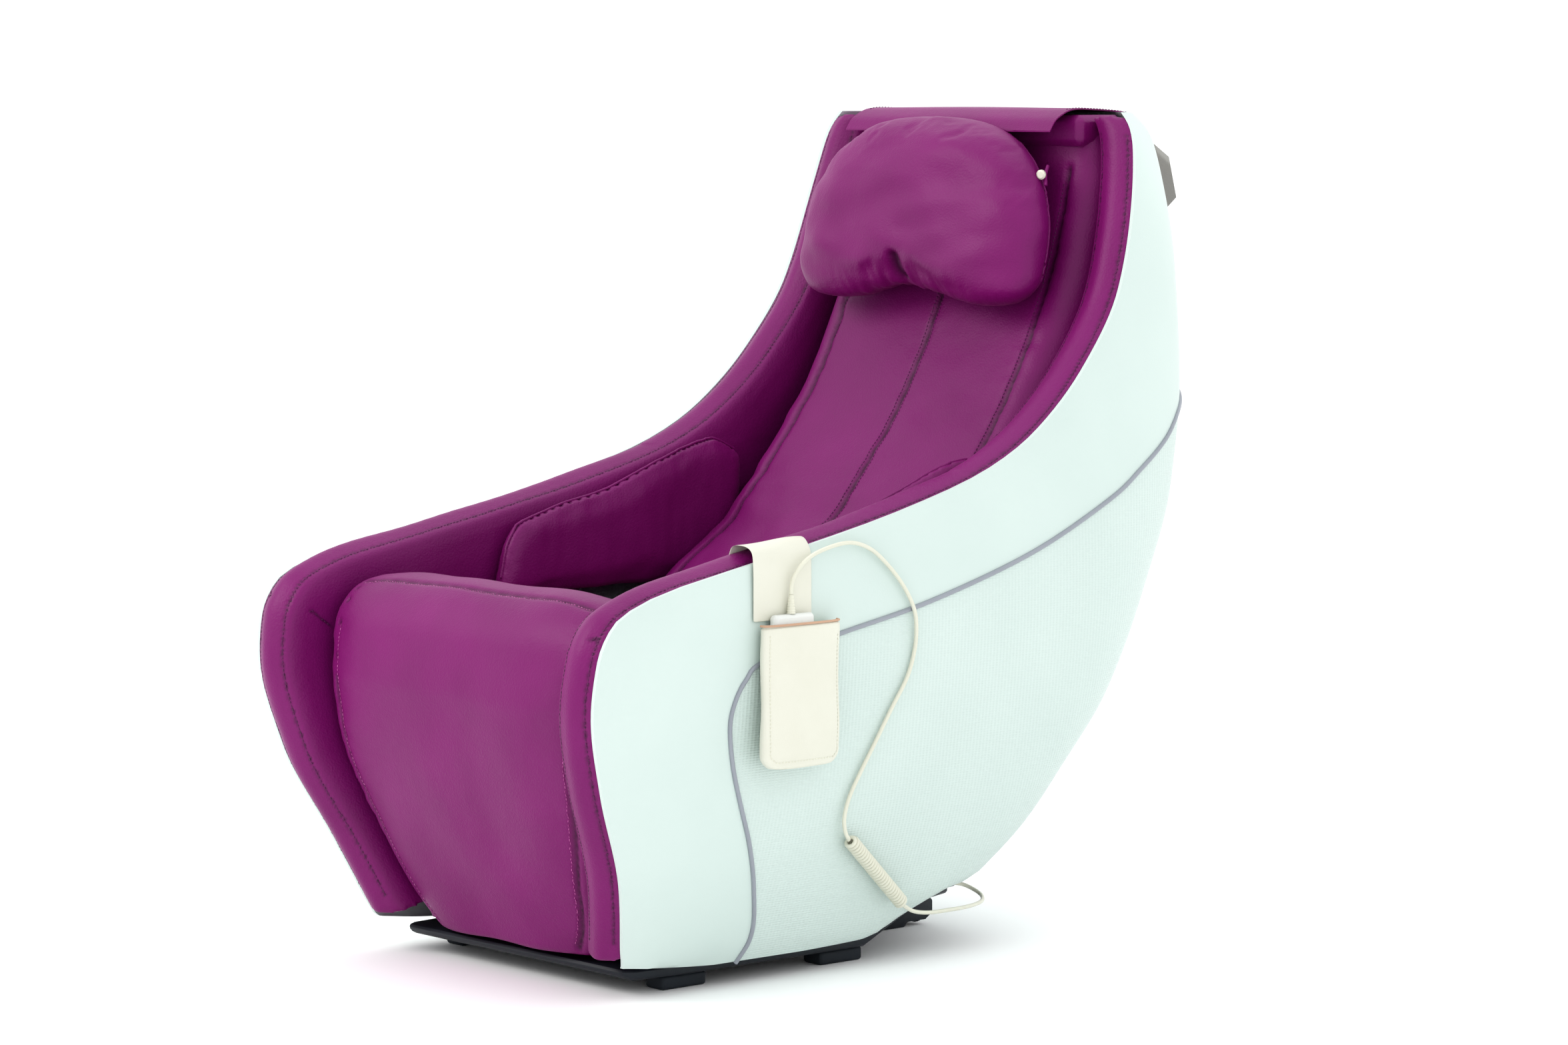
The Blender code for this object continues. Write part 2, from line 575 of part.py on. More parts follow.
def remote_pocket(finish):
    """A stitched pouch on a strap that hooks over the arm."""
    back, wall = POCKET_BACK, 0.0015
    low, high = (back, -0.347, 0.272), (back + 0.0205, -0.230, 0.440)
    pouch = box("remote_pocket", finish, low, high)
    bevelled(pouch, 0.0025, 1)
    inside = box("pocket_inside", finish, (low[0] + wall, low[1] + wall, low[2] + wall),
                 (high[0] - wall, high[1] - wall, 0.50))
    boolean(pouch, inside, "DIFFERENCE")
    front, rear = [], []
    inner = back + 0.0004
    for x, z, nx, nz in ((inner, 0.400, 1, 0), (inner, 0.5215, 1, 0), (0.3335, 0.5305, 0.7, 0.7),
                         (0.322, 0.5345, 0, 1), (0.292, 0.5365, 0, 1)):
        rows = ([], [])
        for y in (-0.352, -0.307, -0.262):
            rise = 0.18 * (y + 0.307) * min(1.0, max(0.0, (z - 0.45) / 0.06))
            rows[0].append((x, y, z + rise))
            rows[1].append((x + nx * wall, y, z + nz * wall + rise))
        front.append(rows[0])
        rear.append(rows[1])
    strap = sheet("pocket_strap", finish, front, rear)
    boolean(pouch, strap, "UNION")


REMOTE_LOW, REMOTE_TOP = 0.280, 0.452


def remote(finish, relief_finish, key_finish):
    """The corded handset: case, strain relief and four keys."""
    case = box("remote_case", finish, (REMOTE_X - 0.0068, REMOTE_Y - 0.0300, REMOTE_LOW),
               (REMOTE_X + 0.0060, REMOTE_Y + 0.0320, REMOTE_TOP), 4.0)
    case.modifiers["edge"].segments = 2
    turned("remote_strain_relief", relief_finish, (REMOTE_X - 0.001, REMOTE_Y, REMOTE_TOP + TOUCH), (0, 0, 1),
           [(0, 0.0050), (0.004, 0.0050), (0.022, 0.0034)], 12)
    keys = (("power", 0.020, 0.418, 0.006), ("program", -0.018, 0.418, 0.006), ("up", 0.001, 0.388, 0.008),
            ("down", 0.001, 0.362, 0.008))
    for name, y, z, radius in keys:
        start = (REMOTE_X + 0.0070, REMOTE_Y + y, z)
        turned(f"remote_key_{name}", key_finish, start, (1, 0, 0), [(0, radius), (0.0009, radius),
                                                                  (0.0015, radius - 0.001)], 12)


CORD_UPPER = [(0.3447, -0.3005, 0.4746), (0.3447, -0.300, 0.484), (0.3455, -0.295, 0.497), (0.3460, -0.277, 0.514),
              (0.3450, -0.247, 0.5245), (0.3430, -0.208, 0.529), (0.3410, -0.175, 0.520), (0.3400, -0.148, 0.501),
              (0.3405, -0.122, 0.474), (0.3400, -0.103, 0.444), (0.3390, -0.098, 0.418), (0.3360, -0.099, 0.390),
              (0.3340, -0.109, 0.360), (0.3305, -0.129, 0.327), (0.3260, -0.151, 0.288), (0.3215, -0.170, 0.254),
              (0.3165, -0.184, 0.224), (0.3125, -0.1885, 0.200), (0.3108, -0.1865, 0.184), (0.3101, -0.1822, 0.1748),
              (0.3096, -0.1803, 0.1732)]
COIL_START, COIL_END = (0.3095, -0.1800, 0.1730), (0.2760, -0.0600, 0.0745)
COIL_D = 0.020
CORD_LOWER = [(0.2759, -0.0596, 0.0742), (0.2752, -0.0570, 0.0722), (0.2725, -0.040, 0.0640), (0.2675, -0.010, 0.0585),
              (0.2590, 0.030, 0.0560), (0.2490, 0.065, 0.0540), (0.2370, 0.097, 0.0530), (0.2230, 0.121, 0.0535),
              (0.2060, 0.135, 0.0565), (0.1900, 0.1365, 0.0615), (0.1795, 0.129, 0.0668), (0.1762, 0.1165, 0.0695)]


def curve_through(points, count):
    """Evenly numbered points on a Catmull-Rom curve through a route."""
    p = [np.array(q) for q in points]
    p = [2 * p[0] - p[1]] + p + [2 * p[-1] - p[-2]]
    out = []
    for t in np.linspace(0, len(points) - 1, count):
        i = min(int(t), len(points) - 2)
        s = t - i
        a, b, c, d = p[i:i + 4]
        out.append(0.5 * (2 * b + (c - a) * s + (2 * a - 5 * b + 4 * c - d) * s * s
                          + (3 * b - a - 3 * c + d) * s ** 3))
    return out


def tube(name, finish, points, diameter, resolution):
    """A round cord along points, as a bevelled curve with capped ends."""
    curve = bpy.data.curves.new(name, "CURVE")
    curve.dimensions = "3D"
    curve.bevel_depth = diameter / 2
    curve.bevel_resolution = resolution
    curve.use_fill_caps = True
    spline = curve.splines.new("POLY")
    spline.points.add(len(points) - 1)
    for point, place in zip(spline.points, points):
        point.co = (*place, 1.0)
    curve.materials.append(finish)
    obj = bpy.data.objects.new(name, curve)
    bpy.context.scene.collection.objects.link(obj)
    obj.parent = bpy.data.objects["chair"]
    return obj


GLAND = (0.1755, 0.0984, 0.0705)


def handset_cord(finish, gland_finish):
    """The handset's cord: plain above and below, with one curly stretch."""
    tube("cord_upper", finish, curve_through(CORD_UPPER, 58), CORD_D, 2)
    tube("cord_lower", finish, curve_through(CORD_LOWER, 30), CORD_D, 2)
    axis = Vector(COIL_END) - Vector(COIL_START)
    turned("cord_coil", finish, COIL_START, axis,
           [(2 * TOUCH, COIL_D / 2), (axis.length - 2 * TOUCH, COIL_D / 2)], 14)
    start = Vector(GLAND)
    leave = (Vector(CORD_LOWER[-1]) - start).normalized()
    reach = (Vector(CORD_LOWER[-1]) - start).length - 2 * TOUCH
    turned("cord_gland", gland_finish, start, leave, [(0, 0.0055), (reach * 0.5, 0.0050), (reach, 0.0036)], 12)


def mains_inlet(finish, rocker_finish):
    """Mains inlet block and rocker switch on the rear panel's lower part."""
    z_low, z_high = 0.190, 0.232
    y = rear_y(z_high) + 0.0015
    inlet = box("mains_inlet", finish, (-0.150, y - 0.060, z_low), (-0.060, y + 0.014, z_high), 2.0)
    boolean(inlet, shell_volume("inlet_seat", finish, -0.0015, 0.12, 0.30), "DIFFERENCE")
    socket = box("inlet_socket", finish, (-0.144, y + 0.003, z_low + 0.009), (-0.116, y + 0.03, z_high - 0.009))
    boolean(inlet, socket, "DIFFERENCE")
    window = box("rocker_window", finish, (-0.098, y + 0.004, z_low + 0.010), (-0.070, y + 0.03, z_high - 0.010))
    boolean(inlet, window, "DIFFERENCE")
    middle = 0.5 * (z_low + z_high)
    outline_yz = [(y + 0.0060, middle - 0.0095), (y + 0.0060, middle + 0.0095), (y + 0.0165, middle + 0.0095),
                  (y + 0.0145, middle), (y + 0.0165, middle - 0.0095)]
    prism("power_rocker", rocker_finish, outline_yz, -0.0965, -0.0715)


def main():
    """Clear the scene and model the chair."""
    for old in list(bpy.data.objects):
        bpy.data.objects.remove(old, do_unlink=True)
    chair = bpy.data.objects.new("chair", None)
    chair.location = ORIGIN
    bpy.context.scene.collection.objects.link(chair)

    shell_white = material("shell_white", (0.76, 0.88, 0.85), 0.45)
    purple = material("purple_upholstery", (0.22, 0.02, 0.16), 0.48)
    tray_black = material("tray_black", (0.01, 0.013, 0.02), 0.5)
    rubber = material("foot_rubber", (0.015, 0.02, 0.03), 0.7)
    chrome = material("chrome", (0.75, 0.75, 0.74), 0.12, 1.0)
    steel = material("zinc_steel", (0.5, 0.5, 0.52), 0.4, 1.0)
    grey_plastic = material("grey_plastic", (0.2, 0.2, 0.21), 0.5)
    motor_black = material("motor_black", (0.03, 0.03, 0.03), 0.4)
    roller_cream = material("roller_nylon", (0.7, 0.66, 0.55), 0.4)
    bag_black = material("air_cell_film", (0.04, 0.04, 0.05), 0.35)
    cream = material("cream_vinyl", (0.87, 0.87, 0.77), 0.45)
    white_plastic = material("white_plastic", (0.86, 0.87, 0.82), 0.35)
    board = material("deck_board", (0.45, 0.3, 0.17), 0.6)

    side_panels(shell_white)
    rear_panel(shell_white)
    base_tray(tray_black)
    feet(rubber)
    wheel_brackets(tray_black, rubber, steel)
    carry_handle(chrome, tray_black)
    arm_pads(purple)
    back_pad(purple)
    seat_pad(purple)
    side_cushions(purple)
    top_cap(purple)
    head_pillow(purple)
    pillow_flap(purple)
    leg_rest(purple, steel, bag_black)
    side_frames(steel, steel)
    seat_deck(board)
    base_works(motor_black, grey_plastic, grey_plastic)
    carriage(steel, motor_black, steel)
    massage_arms(grey_plastic, roller_cream)
    remote_pocket(cream)
    remote(white_plastic, cream, grey_plastic)
    handset_cord(cream, tray_black)
    mains_inlet(grey_plastic, motor_black)


main()
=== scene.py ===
"""Looks of a compact massage chair: upholstery, grained shell, piping, stitching, cord and studio.

The pieces are drawn in the chair's drafting frame, in metres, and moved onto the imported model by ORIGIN.
"""
import json
import math

import bmesh
import bpy
import numpy as np
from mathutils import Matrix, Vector, noise
from mathutils.bvhtree import BVHTree
from mathutils.kdtree import KDTree


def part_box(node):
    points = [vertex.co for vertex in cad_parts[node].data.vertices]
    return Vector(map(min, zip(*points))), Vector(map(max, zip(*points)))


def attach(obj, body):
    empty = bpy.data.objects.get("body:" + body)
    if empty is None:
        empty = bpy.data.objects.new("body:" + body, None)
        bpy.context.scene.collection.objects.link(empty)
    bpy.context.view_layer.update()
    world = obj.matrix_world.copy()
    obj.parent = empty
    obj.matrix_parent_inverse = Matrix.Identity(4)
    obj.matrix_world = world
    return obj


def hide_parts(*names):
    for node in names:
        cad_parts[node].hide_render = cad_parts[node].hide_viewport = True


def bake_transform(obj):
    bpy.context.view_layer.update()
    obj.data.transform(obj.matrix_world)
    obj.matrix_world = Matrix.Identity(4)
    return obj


bl_info = {
    "name": "Compact massage chair",
    "version": (1, 0, 0),
    "blender": (4, 5, 0),
    "location": "View3D > Sidebar > Chair",
    "description": "Builds the upholstery, shell, cord and studio of a compact massage chair",
    "category": "Object",
}

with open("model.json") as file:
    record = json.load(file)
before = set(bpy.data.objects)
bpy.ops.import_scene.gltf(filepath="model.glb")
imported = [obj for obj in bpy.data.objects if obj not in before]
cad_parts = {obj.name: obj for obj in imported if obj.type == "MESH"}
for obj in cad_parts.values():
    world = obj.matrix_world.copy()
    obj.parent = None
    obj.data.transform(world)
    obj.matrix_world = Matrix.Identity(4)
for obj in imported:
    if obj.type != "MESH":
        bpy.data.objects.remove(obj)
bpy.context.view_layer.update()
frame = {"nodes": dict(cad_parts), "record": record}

SIDES = (("left", -1), ("right", 1))
MM = 0.001

# ---- shape of the chair, in the drafting frame ----------------------------------------------------
FRONT_Y = -0.586                         # foremost point of the arms
ORIGIN = Vector((0.5 * (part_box("head_pillow")[0].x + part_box("head_pillow")[1].x),
                 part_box("side_panel_left")[0].y - FRONT_Y, 0.0))
HALF_WIDTH = [(0.02, 0.232), (0.05, 0.248), (0.25, 0.316), (0.45, 0.334), (0.62, 0.327), (0.85, 0.315),
              (0.985, 0.301), (1.012, 0.294), (1.030, 0.282)]
RIM = [(0.028, -0.472), (0.144, -0.512), (0.258, -0.563), (0.362, -0.586), (0.414, -0.580), (0.457, -0.556),
       (0.483, -0.498), (0.511, -0.358), (0.557, -0.130), (0.601, 0.026), (0.643, 0.108), (0.718, 0.193),
       (0.810, 0.258), (0.937, 0.297), (1.030, 0.316)]
REAR = [(0.05, 0.075), (0.075, 0.133), (0.096, 0.159), (0.149, 0.212), (0.222, 0.262), (0.301, 0.321),
        (0.443, 0.385), (0.565, 0.4325), (0.707, 0.453), (0.841, 0.449), (0.960, 0.431), (1.010, 0.416),
        (1.030, 0.398)]
BOTTOM = [(-0.60, 0.050), (-0.48, 0.042), (-0.40, 0.033), (-0.29, 0.027), (-0.09, 0.031), (-0.03, 0.058),
          (0.03, 0.081), (0.13, 0.094)]
CORNER = 0.25                            # depth of the shell's rear corners
ROUNDNESS = 4.0                          # exponent of their superellipse
SHELL_LOW, SHELL_TOP, SHELL_WALL = 0.028, 1.029, 0.005
STRAIGHT = 30                            # points down the straight side of an outline
REAR_SEAM_X, SEAM_GAP = 0.21, 0.0012     # the rear seams, and how far a panel ends from one
PIPING_R = 0.0029
PIPING = [(-0.295, 0.026), (-0.284, 0.066), (-0.300, 0.119), (-0.323, 0.173), (-0.351, 0.230),
          (-0.369, 0.278), (-0.378, 0.324), (-0.373, 0.353), (-0.358, 0.378), (-0.332, 0.397),
          (-0.213, 0.422), (-0.066, 0.451), (0.100, 0.498), (0.234, 0.555), (0.293, 0.590), (0.347, 0.624),
          (0.400, 0.662), (0.480, 0.690), (0.600, 0.700), (0.720, 0.700)]
ARC_Y, ARC_Z, PAD_R = -0.470, 1.096, 0.795
PAD_CROWN = 0.010                        # how far the backrest swells in front of its arc
ROLL_Y, ROLL_Z, ROLL_R = -0.462, 0.393, 0.080
REST_SEAM = [(0.03, 0.126), (0.082, 0.163), (0.124, 0.179), (0.181, 0.199), (0.24, 0.215), (0.331, 0.226),
             (0.40, 0.230), (0.48, 0.230)]
REST_FRONT = [(0.036, -0.448), (0.082, -0.468), (0.124, -0.486), (0.181, -0.507), (0.24, -0.526),
              (0.289, -0.538), (0.345, -0.544)]
CORD_D = 0.005
COIL_D = 0.020
CORD_UPPER = [(0.3447, -0.3005, 0.4746), (0.3447, -0.300, 0.484), (0.3455, -0.295, 0.497),
              (0.3460, -0.277, 0.514), (0.3450, -0.247, 0.5245), (0.3430, -0.208, 0.529),
              (0.3410, -0.175, 0.520), (0.3400, -0.148, 0.501), (0.3405, -0.122, 0.474),
              (0.3400, -0.103, 0.444), (0.3390, -0.098, 0.418), (0.3360, -0.099, 0.390),
              (0.3340, -0.109, 0.360), (0.3305, -0.129, 0.327), (0.3260, -0.151, 0.288),
              (0.3215, -0.170, 0.254), (0.3165, -0.184, 0.224), (0.3125, -0.1885, 0.200),
              (0.3108, -0.1865, 0.184), (0.3101, -0.1822, 0.1748), (0.3096, -0.1803, 0.1732)]
COIL_START, COIL_END = (0.3095, -0.1800, 0.1730), (0.2760, -0.0600, 0.0745)
CORD_LOWER = [(0.2759, -0.0596, 0.0742), (0.2752, -0.0570, 0.0722), (0.2725, -0.040, 0.0640),
              (0.2675, -0.010, 0.0585), (0.2590, 0.030, 0.0560), (0.2490, 0.065, 0.0540),
              (0.2370, 0.097, 0.0530), (0.2230, 0.121, 0.0535), (0.2060, 0.135, 0.0565),
              (0.1900, 0.1365, 0.0615), (0.1795, 0.129, 0.0668), (0.1762, 0.1165, 0.0695)]


# ---- curves ---------------------------------------------------------------------------------------
def smooth(knots, reach_over=0.02):
    """A smooth function through rising knots; reach_over is the length its bends are softened over."""
    t, v = np.array(knots, float).T
    step, rise = np.diff(t), np.diff(v)
    slope = rise / step
    tangent = np.concatenate([[slope[0]], np.zeros(len(t) - 2), [slope[-1]]])
    same = slope[:-1] * slope[1:] > 0
    tangent[1:-1][same] = 2 * slope[:-1][same] * slope[1:][same] / (slope[:-1] + slope[1:])[same]
    x = np.linspace(t[0], t[-1], 800)
    i = np.clip(np.searchsorted(t, x, side="right") - 1, 0, len(step) - 1)
    s = (x - t[i]) / step[i]
    bend = tangent[i] * (1 - s) - tangent[i + 1] * s
    y = v[i] + rise[i] * s * s * (3 - 2 * s) + step[i] * s * (1 - s) * bend
    reach = max(1, int(reach_over / (x[1] - x[0])))
    weights = np.hanning(2 * reach + 3)[1:-1]
    padded = np.concatenate([2 * y[0] - y[reach:0:-1], y, 2 * y[-1] - y[-2:-reach - 2:-1]])
    eased = np.convolve(padded, weights / weights.sum(), mode="valid")
    return lambda at: np.interp(at, x, eased)


half_width = smooth(HALF_WIDTH)
rim_y = smooth(RIM, 0.012)
rear_y = smooth(REAR)
bottom_z = smooth(BOTTOM)
rest_seam = smooth(REST_SEAM)
rest_front = smooth(REST_FRONT)


def curve_through(points, count):
    """Points on a Catmull-Rom curve through a route, the same number in each span."""
    p = [np.array(q, float) for q in points]
    p = [2 * p[0] - p[1]] + p + [2 * p[-1] - p[-2]]
    out = []
    for t in np.linspace(0, len(points) - 1, count):
        i = min(int(t), len(points) - 2)
        s = t - i
        a, b, c, d = p[i:i + 4]
        out.append(0.5 * (2 * b + (c - a) * s + (2 * a - 5 * b + 4 * c - d) * s * s
                          + (3 * b - a - 3 * c + d) * s ** 3))
    return np.array(out)


def squared_off(value, power):
    """A sine or cosine raised to a power with its sign kept: below 1 it squares a circle off."""
    return math.copysign(abs(value) ** power, value)


def even(points, count):
    """The same line with its points evenly spaced."""
    points = np.array(points, float)
    lengths = np.concatenate([[0], np.cumsum(np.linalg.norm(np.diff(points, axis=0), axis=1))])
    s = np.linspace(0, lengths[-1], count)
    return np.stack([np.interp(s, lengths, points[:, k]) for k in range(points.shape[1])], axis=1)


def stations(points, count):
    """Evenly spaced (y, z, normal y, normal z) on a side-view line, normals to the left of travel."""
    line = even(points, count)
    run = np.gradient(line, axis=0)
    run /= np.linalg.norm(run, axis=1)[:, None]
    return np.concatenate([line, np.stack([-run[:, 1], run[:, 0]], axis=1)], axis=1)


def shell_outline(z, inset=0.0, count=90):
    """Points round the right half of the shell at one height, with their unrolled lengths from y = 0."""
    w, depth = half_width(z) - inset, CORNER - inset
    corner_y = rear_y(z) - CORNER
    straight = np.stack([np.full(STRAIGHT, w),
                         np.linspace(corner_y - 0.9, corner_y, STRAIGHT, endpoint=False)], axis=1)
    a = np.linspace(0, 0.5 * math.pi, count)
    c, s = np.cos(a), np.sin(a)
    r = ((c / w) ** ROUNDNESS + (s / depth) ** ROUNDNESS) ** (-1 / ROUNDNESS)
    points = np.concatenate([straight, np.stack([r * c, corner_y + r * s], axis=1)])
    lengths = np.concatenate([[0], np.cumsum(np.linalg.norm(np.diff(points, axis=0), axis=1))])
    return points, lengths - np.interp(0.0, points[:, 1], lengths)


def rear_seam(points, lengths):
    """The unrolled length at which one outline of the shell meets its rear seam."""
    beyond = 2 * STRAIGHT
    return np.interp(-REAR_SEAM_X, -points[beyond:, 0], lengths[beyond:])


def shell_x(z, y, inset=0.0):
    """Half width of the shell at one height and one y."""
    points, _ = shell_outline(z, inset)
    return float(np.interp(y, points[:, 1], points[:, 0]))


def on_shell(length, z, out=0.0):
    """Point on the right half of the shell from its unrolled length and height."""
    points, lengths = shell_outline(z, -out)
    return np.array([np.interp(length, lengths, points[:, 0]), np.interp(length, lengths, points[:, 1]), z])


# ---- mesh helpers -----------------------------------------------------------------------------------
def make(name, verts, faces, finish, crease=40):
    """A mesh in the row frame from points in the drafting frame, faces out, shaded smooth."""
    mesh = bpy.data.meshes.new(name)
    mesh.from_pydata([tuple(Vector(v) + ORIGIN) for v in verts], [], faces)
    shape = bmesh.new()
    shape.from_mesh(mesh)
    bmesh.ops.remove_doubles(shape, verts=shape.verts, dist=1e-6)
    bmesh.ops.recalc_face_normals(shape, faces=shape.faces)
    shape.to_mesh(mesh)
    shape.free()
    mesh.materials.append(finish)
    mesh.shade_smooth()
    mesh.set_sharp_from_angle(angle=math.radians(crease))
    obj = bpy.data.objects.new(name, mesh)
    bpy.context.scene.collection.objects.link(obj)
    return obj


def loft(name, rings, finish):
    """Closed rings of equal length joined into one body, with a face at each end."""
    n = len(rings[0])
    verts = [v for ring in rings for v in ring]
    faces = []
    for j in range(len(rings) - 1):
        for i in range(n):
            k = (i + 1) % n
            faces.append((j * n + i, j * n + k, (j + 1) * n + k, (j + 1) * n + i))
    faces.append(tuple(range(n)))
    faces.append(tuple((len(rings) - 1) * n + i for i in range(n)))
    return make(name, verts, faces, finish)


def skin(name, outer, inner, finish):
    """A closed skin between two grids of points."""
    rows, cols = len(outer), len(outer[0])
    verts = [p for row in outer for p in row] + [p for row in inner for p in row]
    other = rows * cols
    faces = []
    for j in range(rows - 1):
        for i in range(cols - 1):
            a, b, c, d = j * cols + i, j * cols + i + 1, (j + 1) * cols + i + 1, (j + 1) * cols + i
            faces += [(a, b, c, d), (other + d, other + c, other + b, other + a)]
    edge = [(0, i) for i in range(cols - 1)] + [(j, cols - 1) for j in range(rows - 1)]
    edge += [(rows - 1, i) for i in range(cols - 1, 0, -1)] + [(j, 0) for j in range(rows - 1, 0, -1)]
    for (j, i), (next_j, next_i) in zip(edge, edge[1:] + edge[:1]):
        a, b = j * cols + i, next_j * cols + next_i
        faces.append((b, a, other + a, other + b))
    return make(name, verts, faces, finish)


def tube(name, points, radius, finish, sides=12):
    """A round tube along points in the drafting frame, with closed ends; radius may be one for each point."""
    points = [Vector(p) for p in points]
    rings = []
    across = None
    for i, p in enumerate(points):
        run = (points[min(i + 1, len(points) - 1)] - points[max(i - 1, 0)]).normalized()
        across = run.orthogonal() if across is None else across - run * across.dot(run)
        across.normalize()
        up = run.cross(across)
        r = radius[i] if isinstance(radius, list) else radius
        turns = [2 * math.pi * k / sides for k in range(sides)]
        rings.append([p + r * (across * math.cos(a) + up * math.sin(a)) for a in turns])
    return loft(name, rings, finish)


def turned(name, start, axis, profile, finish, sides=32):
    """A solid of revolution from (distance along the axis, radius) pairs."""
    start, axis = Vector(start), Vector(axis).normalized()
    across = axis.orthogonal().normalized()
    up = axis.cross(across)
    turns = [2 * math.pi * i / sides for i in range(sides)]
    rings = [[start + axis * float(d) + float(r) * (across * math.cos(a) + up * math.sin(a)) for a in turns]
             for d, r in profile]
    return loft(name, rings, finish)


def apply_all(obj):
    """Replace the object's mesh with what its modifiers make."""
    ready = obj.evaluated_get(bpy.context.evaluated_depsgraph_get())
    mesh = bpy.data.meshes.new_from_object(ready)
    obj.modifiers.clear()
    obj.data = mesh
    return obj


def subdivide(obj, levels=1):
    """One or more rounds of Catmull-Clark subdivision, applied."""
    change = obj.modifiers.new("soften", "SUBSURF")
    change.levels = change.render_levels = levels
    return apply_all(obj)


def positions(obj):
    """The mesh's points as an array."""
    flat = np.empty(len(obj.data.vertices) * 3)
    obj.data.vertices.foreach_get("co", flat)
    return flat.reshape(-1, 3)


def normals(obj):
    """The mesh's point normals as an array."""
    flat = np.empty(len(obj.data.vertices) * 3)
    obj.data.vertices.foreach_get("normal", flat)
    return flat.reshape(-1, 3)


def set_positions(obj, points):
    """Write the mesh's points back."""
    obj.data.vertices.foreach_set("co", points.ravel())
    obj.data.update()


def press(obj, line, width, depth):
    """Press a soft channel along a line in the drafting frame: width and depth in metres."""
    near = KDTree(len(line))
    for i, p in enumerate(line):
        near.insert(Vector(p) + ORIGIN, i)
    near.balance()
    points, out = positions(obj), normals(obj)
    gap = np.array([near.find(p)[2] for p in points])
    set_positions(obj, points - out * (depth * np.exp(-(gap / width) ** 2))[:, None])
    # Nearness to the channel is kept as the seam attribute, which the plum leather uses to paint shade into
    # its grooves.
    mark = obj.data.attributes.get("seam") or obj.data.attributes.new("seam", "FLOAT", "POINT")
    kept = np.zeros(len(points))
    mark.data.foreach_get("value", kept)
    mark.data.foreach_set("value", np.maximum(kept, np.exp(-(gap / (0.8 * width)) ** 2)))
    return obj


def ripple(obj, size, depth, stretch=(1, 1, 1), where=None, seed=0.0):
    """Soft uneven folds: size is their length in metres, stretch squeezes them along X, Y or Z."""
    points, out = positions(obj), normals(obj)
    scale = np.array(stretch) / size
    wave = np.array([noise.noise(Vector(p * scale) + Vector((seed, seed, seed))) for p in points])
    if where is not None:
        wave = wave * where(points - np.array(ORIGIN))
    set_positions(obj, points + out * (depth * wave)[:, None])
    return obj


def remesh(obj, voxel):
    """Cover the object with an even mesh."""
    change = obj.modifiers.new("even", "REMESH")
    change.mode = "VOXEL"
    change.voxel_size = voxel
    change.use_smooth_shade = True
    return apply_all(obj)


def ease(obj, rounds):
    """Soften the object's corners by rounds of smoothing."""
    change = obj.modifiers.new("ease", "SMOOTH")
    change.factor, change.iterations = 0.5, rounds
    return apply_all(obj)


def plump(obj, voxel, pressure, cap, frames=20):
    """Remesh a pad evenly and blow it up as cloth, moving no point further than cap."""
    remesh(obj, voxel)
    start = positions(obj).copy()
    cloth = obj.modifiers.new("cloth", "CLOTH")
    cloth.settings.quality = 5
    cloth.settings.mass = 0.3
    cloth.settings.tension_stiffness = 12
    cloth.settings.compression_stiffness = 12
    cloth.settings.use_pressure = True
    cloth.settings.uniform_pressure_force = pressure
    cloth.settings.effector_weights.gravity = 0
    scene = bpy.context.scene
    for at in range(1, frames + 1):
        scene.frame_set(at)
    apply_all(obj)
    scene.frame_set(1)
    moved = positions(obj) - start
    far = np.linalg.norm(moved, axis=1)
    held = np.minimum(1.0, cap / np.maximum(far, 1e-9))
    set_positions(obj, start + moved * held[:, None])
    return subdivide(obj)


def lay_on(obj, line, lift):
    """The line's points moved onto the object's surface and lifted off it, with the surface normals."""
    mesh = obj.data
    tree = BVHTree.FromPolygons([v.co for v in mesh.vertices], [p.vertices for p in mesh.polygons])
    out = []
    for p in line:
        place, normal, _, _ = tree.find_nearest(Vector(p) + ORIGIN)
        out.append((place - ORIGIN + normal * lift, normal))
    return out


def on_surface(obj, line, lift=0.0):
    """The line's points moved onto the object's surface, and lifted off it."""
    return [tuple(place) for place, _ in lay_on(obj, line, lift)]


def groove(obj, line, width, depth):
    """Press a soft channel along a line that is first moved onto the object's surface."""
    return press(obj, on_surface(obj, line), width, depth)


def stitches(name, obj, line, finish, pitch, length, thick=0.9):
    """Sewn stitches along a line on an object's surface; sizes in millimetres."""
    line = np.array(line, float)
    total = np.linalg.norm(np.diff(line, axis=0), axis=1).sum()
    count = max(2, int(total / (pitch * MM)))
    path = lay_on(obj, even(line, count), 0.15 * MM)
    verts, faces = [], []
    half, wide = 0.5 * length * MM, 0.5 * thick * MM
    for i in range(count - 1):
        place, normal = path[i]
        run = (path[i + 1][0] - place).normalized()
        side = normal.cross(run).normalized()
        first = len(verts)
        for along, size in ((-half, 0.45), (-0.6 * half, 1.0), (0.6 * half, 1.0), (half, 0.45)):
            rise = normal * (0.35 * MM if size == 1.0 else -0.1 * MM)
            middle = place + run * along + rise
            verts += [middle + side * wide * size, middle + normal * wide * size * 0.8,
                      middle - side * wide * size, middle - normal * wide * size * 0.8]
        for ring in range(3):
            for k in range(4):
                a, b = first + ring * 4 + k, first + ring * 4 + (k + 1) % 4
                faces.append((a, b, b + 4, a + 4))
        faces += [(first, first + 1, first + 2, first + 3), (first + 12, first + 13, first + 14, first + 15)]
    return make(name, verts, faces, finish, crease=80)


